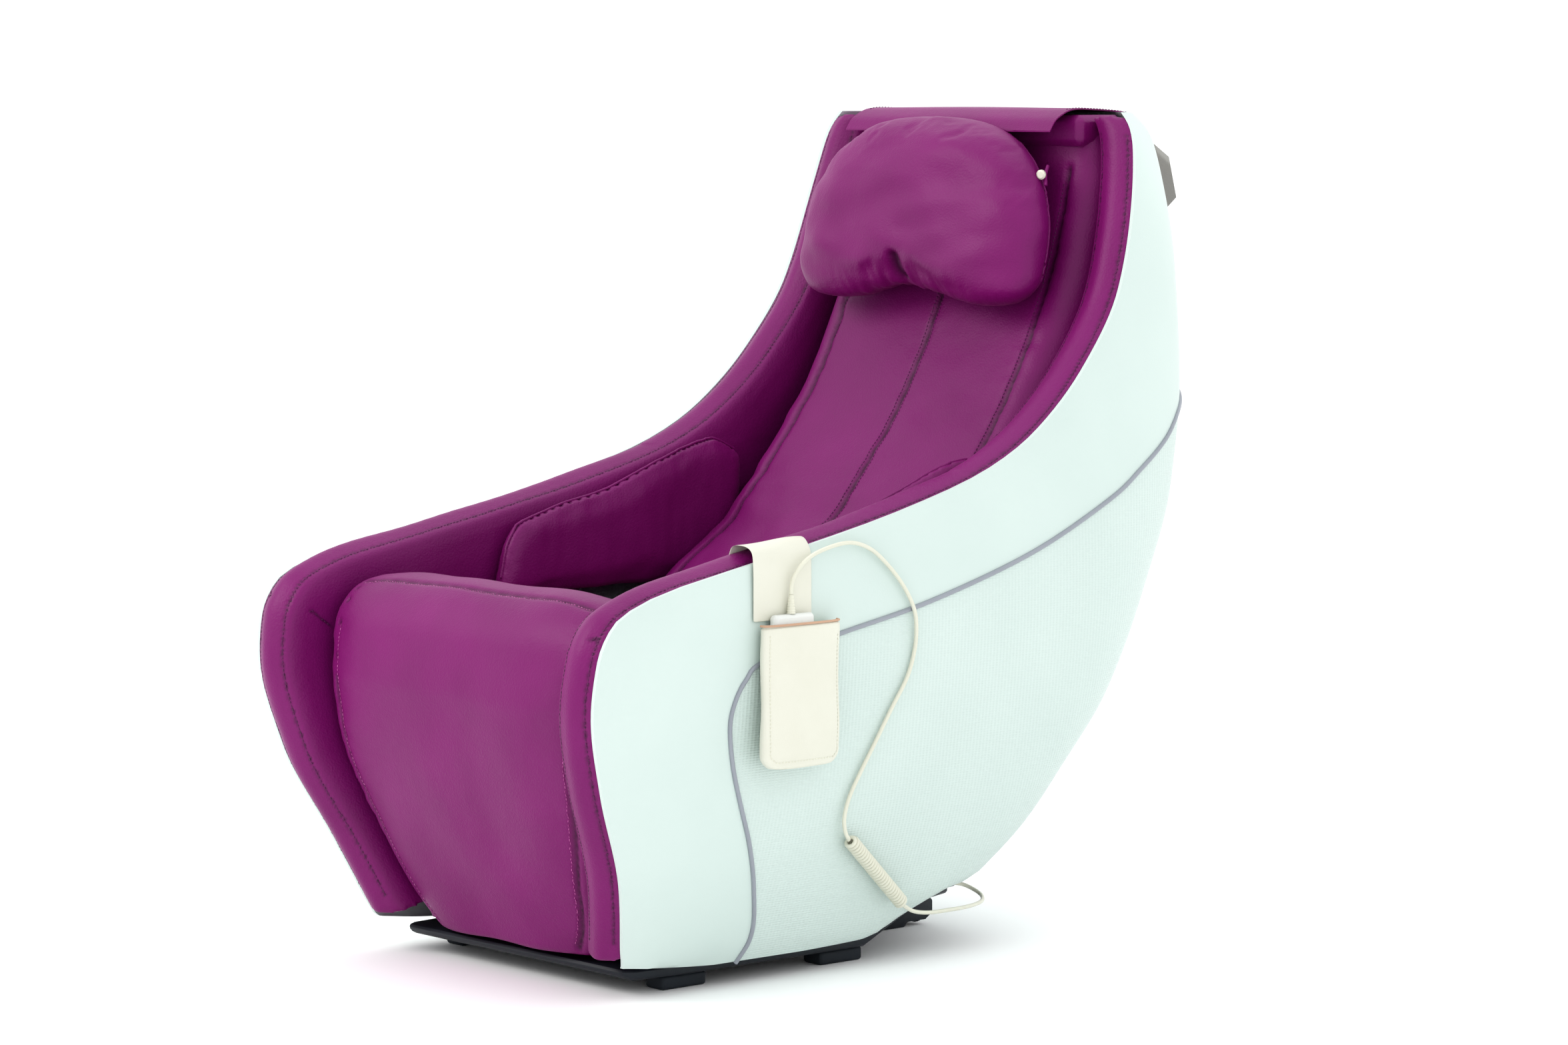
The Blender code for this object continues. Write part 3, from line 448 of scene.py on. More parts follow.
def rounded_copy(node, finish, width_mm, segments=3):
    """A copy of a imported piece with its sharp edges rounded, riding where the piece rides."""
    source = frame["nodes"][node]
    piece = bpy.data.objects.new(f"{node}_finished", source.data.copy())
    bpy.context.scene.collection.objects.link(piece)
    piece.data.materials.clear()
    piece.data.materials.append(finish)
    shape = bmesh.new()
    shape.from_mesh(piece.data)
    bmesh.ops.remove_doubles(shape, verts=shape.verts, dist=1e-5)
    bmesh.ops.dissolve_limit(shape, angle_limit=math.radians(2), verts=shape.verts, edges=shape.edges)
    shape.to_mesh(piece.data)
    shape.free()
    bevel = piece.modifiers.new("edge", "BEVEL")
    bevel.width = width_mm * MM
    bevel.segments = segments
    bevel.limit_method = "ANGLE"
    bevel.angle_limit = math.radians(35)
    apply_all(piece)
    piece.data.shade_smooth()
    piece.data.set_sharp_from_angle(angle=math.radians(35))
    body = next(name for name, members in frame["record"]["behaviour"]["bodies"].items() if node in members)
    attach(piece, body)
    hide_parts(node)
    return piece


def settle(piece, body, *nodes, slot=None, fill=None):
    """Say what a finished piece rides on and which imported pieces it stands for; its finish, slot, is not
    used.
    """
    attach(piece, body)
    if nodes:
        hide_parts(*nodes)
    return piece


# ---- materials ----------------------------------------------------------------------------------------
def linear(code):
    """An sRGB hex colour as linear red, green, blue and alpha."""
    values = [int(code[i:i + 2], 16) / 255 for i in (1, 3, 5)]
    return tuple(v / 12.92 if v <= 0.04045 else ((v + 0.055) / 1.055) ** 2.4 for v in values) + (1.0,)


def add(tree, kind, settings=None, inputs=None):
    """Add a node with its settings; an input is a value, or an output to link from."""
    node = tree.nodes.new(kind)
    for key, value in (settings or {}).items():
        setattr(node, key, value)
    for key, value in (inputs or {}).items():
        if isinstance(value, bpy.types.NodeSocket):
            tree.links.new(value, node.inputs[key])
        else:
            node.inputs[key].default_value = value
    return node


def surface(name, roughness, metallic=0.0, ior=1.5):
    """A material with its shader and the object's own coordinates."""
    made = bpy.data.materials.get(name)
    if made:
        return made, None, None, None
    made = bpy.data.materials.new(name)
    made.use_nodes = True
    tree = made.node_tree
    shader = tree.nodes["Principled BSDF"]
    shader.inputs["Roughness"].default_value = roughness
    shader.inputs["Metallic"].default_value = metallic
    shader.inputs["IOR"].default_value = ior
    place = add(tree, "ShaderNodeTexCoord").outputs["Object"]
    return made, tree, shader, place


def reckon(tree, operation, *inputs):
    """The result of one sum on numbers or outputs."""
    return add(tree, "ShaderNodeMath", {"operation": operation}, dict(enumerate(inputs))).outputs[0]


def blended(tree, low, high, factor):
    """A colour between two others; any of the three may be an output of another node."""
    return add(tree, "ShaderNodeMix", {"data_type": "RGBA"}, {0: factor, 6: low, 7: high}).outputs[2]


def shade(tree, shader, socket, low, high, factor):
    """Drive a shader input between two values or colours by a factor."""
    if isinstance(low, tuple):
        tree.links.new(blended(tree, low, high, factor), shader.inputs[socket])
    else:
        scale = add(tree, "ShaderNodeMapRange", {}, {"Value": factor, "To Min": low, "To Max": high})
        tree.links.new(scale.outputs["Result"], shader.inputs[socket])


def bump(tree, shader, height, depth_mm, under=None):
    """Turn a 0 to 1 height into surface relief of a real depth; under is a bump it lies on."""
    inputs = {"Height": height, "Distance": depth_mm * MM, "Strength": 1.0}
    if under is not None:
        inputs["Normal"] = under
    relief = add(tree, "ShaderNodeBump", {}, inputs).outputs["Normal"]
    tree.links.new(relief, shader.inputs["Normal"])
    return relief


def plum_leather():
    """Polyurethane synthetic leather, embossed with a fine pebble grain: soft, matt, with a faint bloom."""
    chair = bpy.context.scene.massage_chair
    made, tree, shader, place = surface("synthetic leather, plum", 0.47)
    if tree is None:
        return made
    # Real pebbles are about 0.8 mm; they are drawn at 2.2 mm so that they show.
    pebbles = add(tree, "ShaderNodeTexVoronoi", {"feature": "SMOOTH_F1"},
                  {"Vector": place, "Scale": 1000 / 2.2})
    pores = add(tree, "ShaderNodeTexNoise", {}, {"Vector": place, "Scale": 1000 / 1.2, "Detail": 2.0})
    creases = add(tree, "ShaderNodeTexNoise", {}, {"Vector": place, "Scale": 1000 / 38, "Detail": 3.0})
    clouds = add(tree, "ShaderNodeTexNoise", {}, {"Vector": place, "Scale": 1000 / 120, "Detail": 2.0})
    face = blended(tree, linear(chair.leather_shade), linear(chair.leather), clouds.outputs["Fac"])
    # Painted shade darkens the leather in its sewn grooves.
    sewn = add(tree, "ShaderNodeAttribute", {"attribute_name": "seam"}).outputs["Fac"]
    seam_shade = reckon(tree, "MULTIPLY", sewn, 0.85)
    tree.links.new(blended(tree, face, linear("#2A0424"), seam_shade), shader.inputs["Base Color"])
    shade(tree, shader, "Roughness", 0.40, 0.54, pores.outputs["Fac"])
    under = bump(tree, shader, creases.outputs["Fac"], 0.9)
    under = bump(tree, shader, pebbles.outputs["Distance"], 0.30, under)
    bump(tree, shader, pores.outputs["Fac"], 0.05, under)
    shader.inputs["Sheen Weight"].default_value = 0.06
    shader.inputs["Sheen Roughness"].default_value = 0.4
    shader.inputs["Sheen Tint"].default_value = linear("#F08CC8")
    shader.inputs["Specular IOR Level"].default_value = 0.34
    return made


def shell_leather():
    """White synthetic leather on a moulded shell: smooth above the piping, embossed with diamonds below."""
    chair = bpy.context.scene.massage_chair
    made, tree, shader, place = surface("synthetic leather, white, embossed", 0.44)
    if tree is None:
        return made
    inside = add(tree, "ShaderNodeAttribute", {"attribute_name": "embossed"}).outputs["Fac"]
    mask = reckon(tree, "GREATER_THAN", inside, 0.0)
    axes = add(tree, "ShaderNodeSeparateXYZ", {}, {0: add(tree, "ShaderNodeAttribute",
                                                         {"attribute_name": "unrolled"}).outputs["Vector"]})
    along, high = axes.outputs["X"], axes.outputs["Y"]
    waves = []
    # Real diamonds are about 3 mm; they are drawn at 6 mm so that they show.
    for slant in (0.55, -0.55):
        lean = reckon(tree, "MULTIPLY_ADD", along, slant, high)
        waves.append(reckon(tree, "SINE", reckon(tree, "MULTIPLY", lean, 2 * math.pi / (6.0 * MM))))
    both = reckon(tree, "MULTIPLY", waves[0], waves[1])
    ribs = add(tree, "ShaderNodeMapRange", {}, {"Value": both, "From Min": -1.0}).outputs["Result"]
    relief = reckon(tree, "MULTIPLY", ribs, mask)
    grain = add(tree, "ShaderNodeTexVoronoi", {"feature": "SMOOTH_F1"},
                {"Vector": place, "Scale": 1000 / 2.0})
    clouds = add(tree, "ShaderNodeTexNoise", {}, {"Vector": place, "Scale": 1000 / 150, "Detail": 2.0})
    shade(tree, shader, "Base Color", linear(chair.shell_shade), linear(chair.shell), clouds.outputs["Fac"])
    shade(tree, shader, "Roughness", 0.38, 0.56, reckon(tree, "MULTIPLY", relief, 0.6))
    under = bump(tree, shader, relief, 0.55)
    bump(tree, shader, grain.outputs["Distance"], 0.05, under)
    shader.inputs["Sheen Weight"].default_value = 0.08
    return made


def grained(name, color, dark, roughness, grain_mm, depth_mm, coat=0.0):
    """A moulded or coated surface whose colour and gloss vary a little over its grain."""
    made, tree, shader, place = surface(name, roughness)
    if tree is None:
        return made
    grain = add(tree, "ShaderNodeTexVoronoi", {"feature": "SMOOTH_F1"},
                {"Vector": place, "Scale": 1000 / grain_mm})
    wear = add(tree, "ShaderNodeTexNoise", {}, {"Vector": place, "Scale": 1000 / 60, "Detail": 4.0})
    shade(tree, shader, "Base Color", linear(dark), linear(color), wear.outputs["Fac"])
    shade(tree, shader, "Roughness", roughness - 0.06, roughness + 0.08, wear.outputs["Fac"])
    bump(tree, shader, grain.outputs["Distance"], depth_mm)
    shader.inputs["Coat Weight"].default_value = coat
    return made


def piping_cord():
    """Grey vinyl piping: a smooth extruded cord with a low gloss."""
    return grained("vinyl piping, grey", "#9CA0A8", "#888D96", 0.36, 1.5, 0.03, 0.1)


def cream_leather():
    """Cream synthetic leather of the pocket: smooth face, soft satin gloss."""
    return grained("synthetic leather, cream", "#DADACE", "#D0D0C2", 0.46, 1.8, 0.07)


def cream_vinyl():
    """Moulded flexible vinyl of the handset's cord: even, waxy, slightly glossy."""
    return grained("flexible vinyl, cream", "#DADACB", "#CFCFBE", 0.34, 3.0, 0.02, 0.1)


def white_abs():
    """Injection-moulded ABS of the handset: satin with a faint spark-eroded texture."""
    return grained("ABS, white", "#DCDEDA", "#D2D5D1", 0.32, 1.2, 0.02, 0.15)


def black_polypropylene():
    """Moulded black polypropylene: dull, with a fine leather-grain texture from the tool."""
    return grained("polypropylene, black", "#161E28", "#0D131B", 0.52, 1.6, 0.08)


def black_rubber():
    """Moulded rubber: very dull, faintly dusty."""
    return grained("rubber, black", "#17212B", "#0E151D", 0.68, 2.0, 0.06)


def grey_silicone():
    """Silicone rubber keys: matt and even."""
    return grained("silicone, grey", "#9DA2A8", "#8E949B", 0.50, 1.0, 0.02)


def raw_edge():
    """Cut edge of synthetic leather: the tan woven backing shows."""
    return grained("leather backing, tan", "#C9A890", "#B08C74", 0.75, 0.9, 0.1)


def thread(name, color, glint=None):
    """Bonded polyester thread: twisted, slightly shiny; glint is the paler colour of each twist."""
    made, tree, shader, place = surface(name, 0.5)
    if tree is None:
        return made
    twist = add(tree, "ShaderNodeTexWave", {"wave_type": "BANDS", "bands_direction": "DIAGONAL"},
                {"Vector": place, "Scale": 1000 / 1.0 / 20})
    shade(tree, shader, "Base Color", linear(color), linear(glint or color), twist.outputs["Fac"])
    bump(tree, shader, twist.outputs["Fac"], 0.1)
    return made


def plum_thread():
    """Thread a little darker than the plum leather it is sewn through."""
    return thread("polyester thread, plum", "#5A1450")


def chrome():
    """Chromium plating on a pressing: mirror bright, with faint polishing lines."""
    made, tree, shader, place = surface("chromium plate", 0.09, 1.0)
    if tree is None:
        return made
    stretched = add(tree, "ShaderNodeMapping", {}, {"Vector": place, "Scale": (20.0, 1200.0, 1200.0)})
    lines = add(tree, "ShaderNodeTexNoise", {}, {"Vector": stretched.outputs[0], "Scale": 1.0, "Detail": 3.0})
    shade(tree, shader, "Roughness", 0.06, 0.15, lines.outputs["Fac"])
    shade(tree, shader, "Base Color", linear("#6F6E6B"), linear("#A09F9A"), lines.outputs["Fac"])
    bump(tree, shader, lines.outputs["Fac"], 0.01)
    return made


def zinc_steel():
    """Zinc-plated steel: grey, brushed, with a cloudy spangle."""
    made, tree, shader, place = surface("steel, zinc plated", 0.35, 1.0)
    if tree is None:
        return made
    spangle = add(tree, "ShaderNodeTexVoronoi", {}, {"Vector": place, "Scale": 1000 / 9})
    shade(tree, shader, "Base Color", linear("#A8ABB0"), linear("#C6C8CC"), spangle.outputs["Distance"])
    shade(tree, shader, "Roughness", 0.28, 0.45, spangle.outputs["Distance"])
    bump(tree, shader, spangle.outputs["Distance"], 0.01)
    return made


def plywood():
    """Birch plywood: pale, with long soft grain."""
    made, tree, shader, place = surface("birch plywood", 0.55)
    if tree is None:
        return made
    stretched = add(tree, "ShaderNodeMapping", {}, {"Vector": place, "Scale": (6.0, 120.0, 120.0)})
    grain = add(tree, "ShaderNodeTexNoise", {}, {"Vector": stretched.outputs[0], "Scale": 1.0, "Detail": 5.0})
    shade(tree, shader, "Base Color", linear("#B79468"), linear("#D9BF97"), grain.outputs["Fac"])
    bump(tree, shader, grain.outputs["Fac"], 0.1)
    return made


# ---- settings the panel shows -------------------------------------------------------------------------
class MassageChairSettings(bpy.types.PropertyGroup):
    """Colours and amounts that the pieces are made with."""
    leather: bpy.props.StringProperty(
        name="Upholstery", default="#7C0A68",
        description="Colour of the plum leather where light falls on it, as sRGB hex")
    leather_shade: bpy.props.StringProperty(
        name="Upholstery, deep", default="#6A0658",
        description="Deeper tone the plum leather varies to, as sRGB hex")
    shell: bpy.props.StringProperty(
        name="Shell", default="#CBD9D4", description="Colour of the white leather on the shell, as sRGB hex")
    shell_shade: bpy.props.StringProperty(
        name="Shell, deep", default="#C2D1CC",
        description="Deeper tone the shell's leather varies to, as sRGB hex")
    coil_turns: bpy.props.IntProperty(
        name="Coil turns", default=28, min=5, max=40,
        description="Turns in the curly part of the handset's cord")
    stitch_pitch: bpy.props.FloatProperty(
        name="Stitch pitch", default=5.0, min=2.0, max=12.0,
        description="Millimetres from one stitch to the next")
    fold_depth: bpy.props.FloatProperty(
        name="Fold depth", default=1.0, min=0.0, max=2.0,
        description="How deep the soft folds are, 1 is as upholstered")


def fold_depth():
    """How deep the soft folds are made, from the panel's setting."""
    return bpy.context.scene.massage_chair.fold_depth


def sew(name, obj, line, finish, body="root", slot="purple_leather", closer=1.0, length=3.4):
    """Stitch along a line on a piece at the panel's pitch; length is one stitch's, in millimetres."""
    pitch = bpy.context.scene.massage_chair.stitch_pitch * closer
    settle(stitches(name, obj, line, finish, pitch, length), body, slot=slot)


# ---- camera -------------------------------------------------------------------------------------------
class CHAIR_OT_camera(bpy.types.Operator):
    """Set the camera in front of the chair's left corner"""
    bl_idname = "chair.camera"
    bl_label = "Camera"

    def execute(self, context):
        turn, rise, away = math.radians(49.0), math.radians(5.1715), 6.0
        aside, height = -0.0088958, 0.5168389
        right = Vector((math.cos(turn), math.sin(turn), 0.0))
        back = Vector((math.sin(turn) * math.cos(rise), -math.cos(turn) * math.cos(rise), math.sin(rise)))
        aim = ORIGIN + right * aside + Vector((0.0, 0.0, height))
        lens = bpy.data.cameras.new("camera")
        lens.lens, lens.sensor_width = 109.94, 36.0
        lens.dof.use_dof = False
        camera = bpy.data.objects.new("camera", lens)
        context.scene.collection.objects.link(camera)
        camera.location = aim + back * away
        camera.rotation_euler = (-back).to_track_quat("-Z", "Y").to_euler()
        context.scene.camera = camera
        return {"FINISHED"}


# ---- cord ---------------------------------------------------------------------------------------------
def coil_line(turns):
    """The curly part of the cord: a helix along the straight line between its ends."""
    start, end = np.array(COIL_START), np.array(COIL_END)
    axis = end - start
    length = np.linalg.norm(axis)
    axis /= length
    down = np.array([0.0, 0.0, -1.0])
    down -= axis * down.dot(axis)
    down /= np.linalg.norm(down)
    side = np.cross(axis, down)
    radius = 0.5 * (COIL_D - CORD_D)
    points = []
    for t in np.linspace(0, 1, turns * 20 + 1):
        a = 2 * math.pi * turns * t
        widen = min(1.0, 1.2 * turns * t, 1.2 * turns * (1 - t))
        middle = start + axis * length * (0.02 + 0.96 * t)
        points.append(middle + radius * widen * (down * math.cos(a) + side * math.sin(a)))
    return np.array(points)


class CHAIR_OT_cord(bpy.types.Operator):
    """Lay the handset's curly cord from the hole in the shell up to the handset"""
    bl_idname = "chair.cord"
    bl_label = "Handset cord"

    def execute(self, context):
        turns = context.scene.massage_chair.coil_turns
        upper = curve_through(CORD_UPPER, 240)
        lower = curve_through(CORD_LOWER, 110)
        path = np.concatenate([upper[:-1], coil_line(turns), lower[1:]])[::-1]
        for _ in range(4):
            path[1:-1] = 0.5 * path[1:-1] + 0.25 * (path[:-2] + path[2:])
        lengths = np.linalg.norm(np.diff(path, axis=0), axis=1)
        total = float(lengths.sum())
        cord = tube("handset_cord", path, 0.5 * CORD_D, cream_vinyl(), sides=10)
        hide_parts("cord_upper", "cord_coil", "cord_lower")
        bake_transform(cord)
        if total < 1.0:
            raise RuntimeError("the handset's cord is shorter than its route")
        return {"FINISHED"}


# ---- shell --------------------------------------------------------------------------------------------
def piping_distance(length, z):
    """Metres from the piping on the shell's side: above zero inside the embossed field, below it outside."""
    line = piping_line(400)
    gap = float(np.hypot(line[:, 0] - length, line[:, 1] - z).min())
    beyond = line[-1, 0] + 1.0
    field = np.concatenate([line, [(beyond, line[-1, 1]), (beyond, -1.0), (line[0, 0], -1.0)]])
    (x, y), (next_x, next_y) = field.T, np.roll(field, -1, axis=0).T
    rise = np.where(next_y == y, 1.0, next_y - y)
    crossings = ((y > z) != (next_y > z)) & (length < x + (z - y) * (next_x - x) / rise)
    return gap if crossings.sum() % 2 else -gap


LINES = {}


def piping_line(count):
    """The piping as (unrolled length from y = 0, z), evenly spaced."""
    if count not in LINES:
        LINES[count] = even(curve_through([(y, z) for y, z in PIPING], count), count)
    return LINES[count]


def shell_edge(z):
    """Where the shell's side starts at one height: the unrolled length at its front or top rim."""
    return float(rim_y(z)) + 0.004


class CHAIR_OT_shell(bpy.types.Operator):
    """Cover the moulded shell in embossed leather, with piping round the embossed field"""
    bl_idname = "chair.shell"
    bl_label = "Shell"

    def execute(self, context):
        finish, piping = shell_leather(), piping_cord()
        heights = np.concatenate([np.linspace(SHELL_LOW, 0.16, 16, endpoint=False),
                                  np.linspace(0.16, 0.98, 74, endpoint=False),
                                  np.linspace(0.98, SHELL_TOP, 8)])
        seam = [rear_seam(*shell_outline(z)) for z in heights]
        for name, way in SIDES:
            outer, inner, marks, places = [], [], [], []
            for z, end in zip(heights, seam):
                start = shell_edge(z)
                run = np.linspace(start, end - SEAM_GAP, 96)
                row_out, row_in = [], []
                points, lengths = shell_outline(z)
                deep, deep_lengths = shell_outline(z, SHELL_WALL)
                in_end = rear_seam(deep, deep_lengths)
                for s in run:
                    x, y = np.interp(s, lengths, points[:, 0]), np.interp(s, lengths, points[:, 1])
                    t = (s - start) / (end - start)
                    low = max(z, float(bottom_z(min(y, 0.13))))
                    q = start + t * (in_end - SEAM_GAP - start)
                    row_out.append((way * x, y, low))
                    row_in.append((way * np.interp(q, deep_lengths, deep[:, 0]),
                                   np.interp(q, deep_lengths, deep[:, 1]), low))
                    marks.append(piping_distance(s, low))
                    places.append((s, low, 0.0))
                outer.append(row_out)
                inner.append(row_in)
            side = skin(f"side_panel_{name}_finished", outer, inner, finish)
            self.mark(side, way)
            settle(side, "root", f"side_panel_{name}", slot="shell_leather")
            route = [on_shell(s, z, 0.0006) * np.array([way, 1, 1]) for s, z in piping_line(260)
                     if s < np.interp(z, heights, seam)]
            settle(tube(f"shell_piping_{name}", route, PIPING_R, piping), "root", slot="grey_plastic")
        self.back(heights, finish)
        self.bead(heights, seam, piping)
        high = float(np.interp(np.interp(0.70, heights, seam), *piping_line(260).T))
        points, lengths = shell_outline(high)
        run = np.linspace(rear_seam(points, lengths), lengths[-1], 40)
        half = [on_shell(s, high, 0.0006) for s in run]
        across = half + [p * np.array([-1, 1, 1]) for p in half[-2::-1]]
        settle(tube("rear_panel_piping", across, PIPING_R, piping), "root", slot="grey_plastic")
        return {"FINISHED"}

    def mark(self, obj, way):
        """Give the mesh its unrolled coordinates and its distance into the embossed field."""
        mesh = obj.data
        field = mesh.attributes.new("embossed", "FLOAT", "POINT")
        flat = mesh.attributes.new("unrolled", "FLOAT_VECTOR", "POINT")
        table = {}
        for i, vertex in enumerate(mesh.vertices):
            p = vertex.co - ORIGIN
            key = round(p.z, 3)
            if key not in table:
                table[key] = shell_outline(p.z)
            points, lengths = table[key]
            # Down the sides the length is read off y, and round the corners and across the back off x.
            if p.y < points[STRAIGHT, 1] + 0.7 * CORNER:
                s = float(np.interp(p.y, points[:, 1], lengths))
            else:
                s = float(np.interp(-abs(p.x), -points[STRAIGHT + 1:, 0], lengths[STRAIGHT + 1:]))
            field.data[i].value = piping_distance(s, p.z)
            flat.data[i].vector = (s * way, p.z, 0.0)

    def back(self, heights, finish):
        """The shell's rear panel, between its two seams."""
        outer, inner = [], []
        for z in heights:
            low = max(z, 0.094)
            row_out, row_in = [], []
            for inset, row in ((0.0, row_out), (SHELL_WALL, row_in)):
                points, lengths = shell_outline(low, inset)
                first = rear_seam(points, lengths) + SEAM_GAP
                last = lengths[-1]
                half = [(np.interp(s, lengths, points[:, 0]), np.interp(s, lengths, points[:, 1]))
                        for s in np.linspace(first, last, 40)]
                row += [(x, y, low) for x, y in half] + [(-x, y, low) for x, y in half[-2::-1]]
            outer.append(row_out)
            inner.append(row_in)
        rear = skin("rear_panel_finished", outer, inner, finish)
        self.mark(rear, 1)
        settle(rear, "root", "rear_panel", slot="shell_leather")

    def bead(self, heights, seam, piping):
        """Beads along the two rear seams."""
        for name, way in SIDES:
            route = []
            for z, s in zip(heights, seam):
                if z > 0.1:
                    route.append(on_shell(s, z, -0.0006) * np.array([way, 1, 1]))
            settle(tube(f"rear_seam_bead_{name}", route, 1.6 * MM, piping), "root", slot="grey_plastic")


# ---- arms ---------------------------------------------------------------------------------------------
ARM_THICK = 0.068
ARM_GAP = 0.0035


def arm_rim(count):
    """Stations along the arm pad's rim, from its lower front corner to the top of the wing."""
    heights = np.concatenate([np.linspace(0.050, 0.40, 26, endpoint=False),
                              np.linspace(0.40, 0.53, 46, endpoint=False),
                              np.linspace(0.53, 1.024, 40)])
    line = np.array([(rim_y(z), z) for z in heights])
    line = curve_through([tuple(p) for p in line], 3 * len(line))
    return stations(line, count)


class CHAIR_OT_arms(bpy.types.Operator):
    """Upholster the two arms and wings, with a rounded rim, crown and stitched seams"""
    bl_idname = "chair.arms"
    bl_label = "Arms and wings"

    def execute(self, context):
        finish = plum_leather()
        dark = plum_thread()
        for name, way in SIDES:
            pad = self.pad(name, way, finish)
            settle(pad, "root", f"arm_pad_{name}", slot="purple_leather", fill=0.9)
            self.seams(name, way, pad, dark)
        return {"FINISHED"}

    def section(self, y, z, ny, nz, way):
        """One closed section across the rim: outer wall, rounded edges with a crown between, inner wall."""
        deep = float(np.interp(z, [0.50, 0.62, 0.85, 1.03], [0.150, 0.115, 0.070, 0.045]))
        outer_x = shell_x(z, y)
        inner_x = outer_x - ARM_THICK
        rim = np.array([y, z])
        inward = -np.array([ny, nz])
        points = []
        # The outer wall lies just inside the shell, up to the shell's edge.
        for d in (deep, 0.5 * deep, 0.020, 0.008):
            at = rim + inward * d
            points.append((shell_x(at[1], at[0]) - SHELL_WALL - ARM_GAP, at[0], at[1]))
        # The edge stands out over the shell's rim, then rolls over a rounded corner to the face.
        radius = 0.016
        for a in np.linspace(0, 90, 7):
            c, s = math.cos(math.radians(a)), math.sin(math.radians(a))
            at = rim + inward * (radius * (1 - s) - 0.001)
            points.append((outer_x - 0.0005 - radius * (1 - c), at[0], at[1]))
        for t in np.linspace(0.12, 0.88, 7):
            crown = 0.007 * (1 - (2 * t - 1) ** 2)
            at = rim - inward * (0.001 + crown)
            points.append((outer_x - radius - t * (ARM_THICK - 2 * radius), at[0], at[1]))
        for a in np.linspace(90, 0, 7):
            c, s = math.cos(math.radians(a)), math.sin(math.radians(a))
            at = rim + inward * (radius * (1 - s) - 0.001)
            points.append((inner_x + radius * (1 - c), at[0], at[1]))
        for d in (0.020, 0.045, 0.5 * deep, deep):
            at = rim + inward * d
            bulge = 0.004 * math.sin(math.pi * d / deep)
            points.append((inner_x - bulge, at[0], at[1]))
        return [(way * x, y, z) for x, y, z in points]

    def pad(self, name, way, finish):
        rings = [self.section(y, z, ny, nz, way) for y, z, ny, nz in arm_rim(150)]
        pad = loft(f"arm_pad_{name}_finished", rings, finish)
        remesh(pad, 0.0042)
        ease(pad, 6)
        front = lambda p: np.where((p[:, 2] > 0.42) & (p[:, 2] < 0.60) & (p[:, 1] > -0.52), 1.0, 0.35)
        ripple(pad, 0.055, 0.0022 * fold_depth(), (1.0, 0.5, 0.9), front, seed=3.0 + way)
        pad.data.shade_smooth()
        return pad

    def seams(self, name, way, pad, dark):
        """Stitching inside both edges of the arm and the wing, and the seam across the front corner."""
        line = arm_rim(260)
        along = [(way * (shell_x(z, y) - 0.011), y + 0.001 * ny, z + 0.001 * nz)
                 for y, z, ny, nz in line[4:-4]]
        groove(pad, along, 2.6 * MM, 1.8 * MM)
        inside = [(way * (shell_x(z, y) - ARM_THICK + 0.010), y, z) for y, z, ny, nz in line[4:-4]]
        groove(pad, inside, 2.6 * MM, 1.8 * MM)
        outer, inner = np.array([-0.587, 0.452]), np.array([-0.520, 0.402])
        across = []
        for t in np.linspace(0, 1, 30):
            y, z = outer + (inner - outer) * t
            across.append((way * (shell_x(0.44, -0.57) - 0.002 - t * (ARM_THICK - 0.004)), y, z))
        groove(pad, across, 2.2 * MM, 1.6 * MM)
        for part, route in (("outer", along), ("inner", inside), ("corner", across)):
            sew(f"arm_stitches_{part}_{name}", pad, route, dark)


# ---- back and seat ------------------------------------------------------------------------------------
def pad_point(angle, out):
    """(y, z) on the backrest's front at an angle from straight down, out metres in front of it."""
    a = math.radians(angle)
    return ARC_Y + (PAD_R - out) * math.sin(a), ARC_Z - (PAD_R - out) * math.cos(a)


def pad_half(angle, out):
    """Half the backrest's width at an angle, which the two wings leave free."""
    y, z = pad_point(angle, out)
    return min(0.228, shell_x(z, y) - ARM_THICK - 0.004)


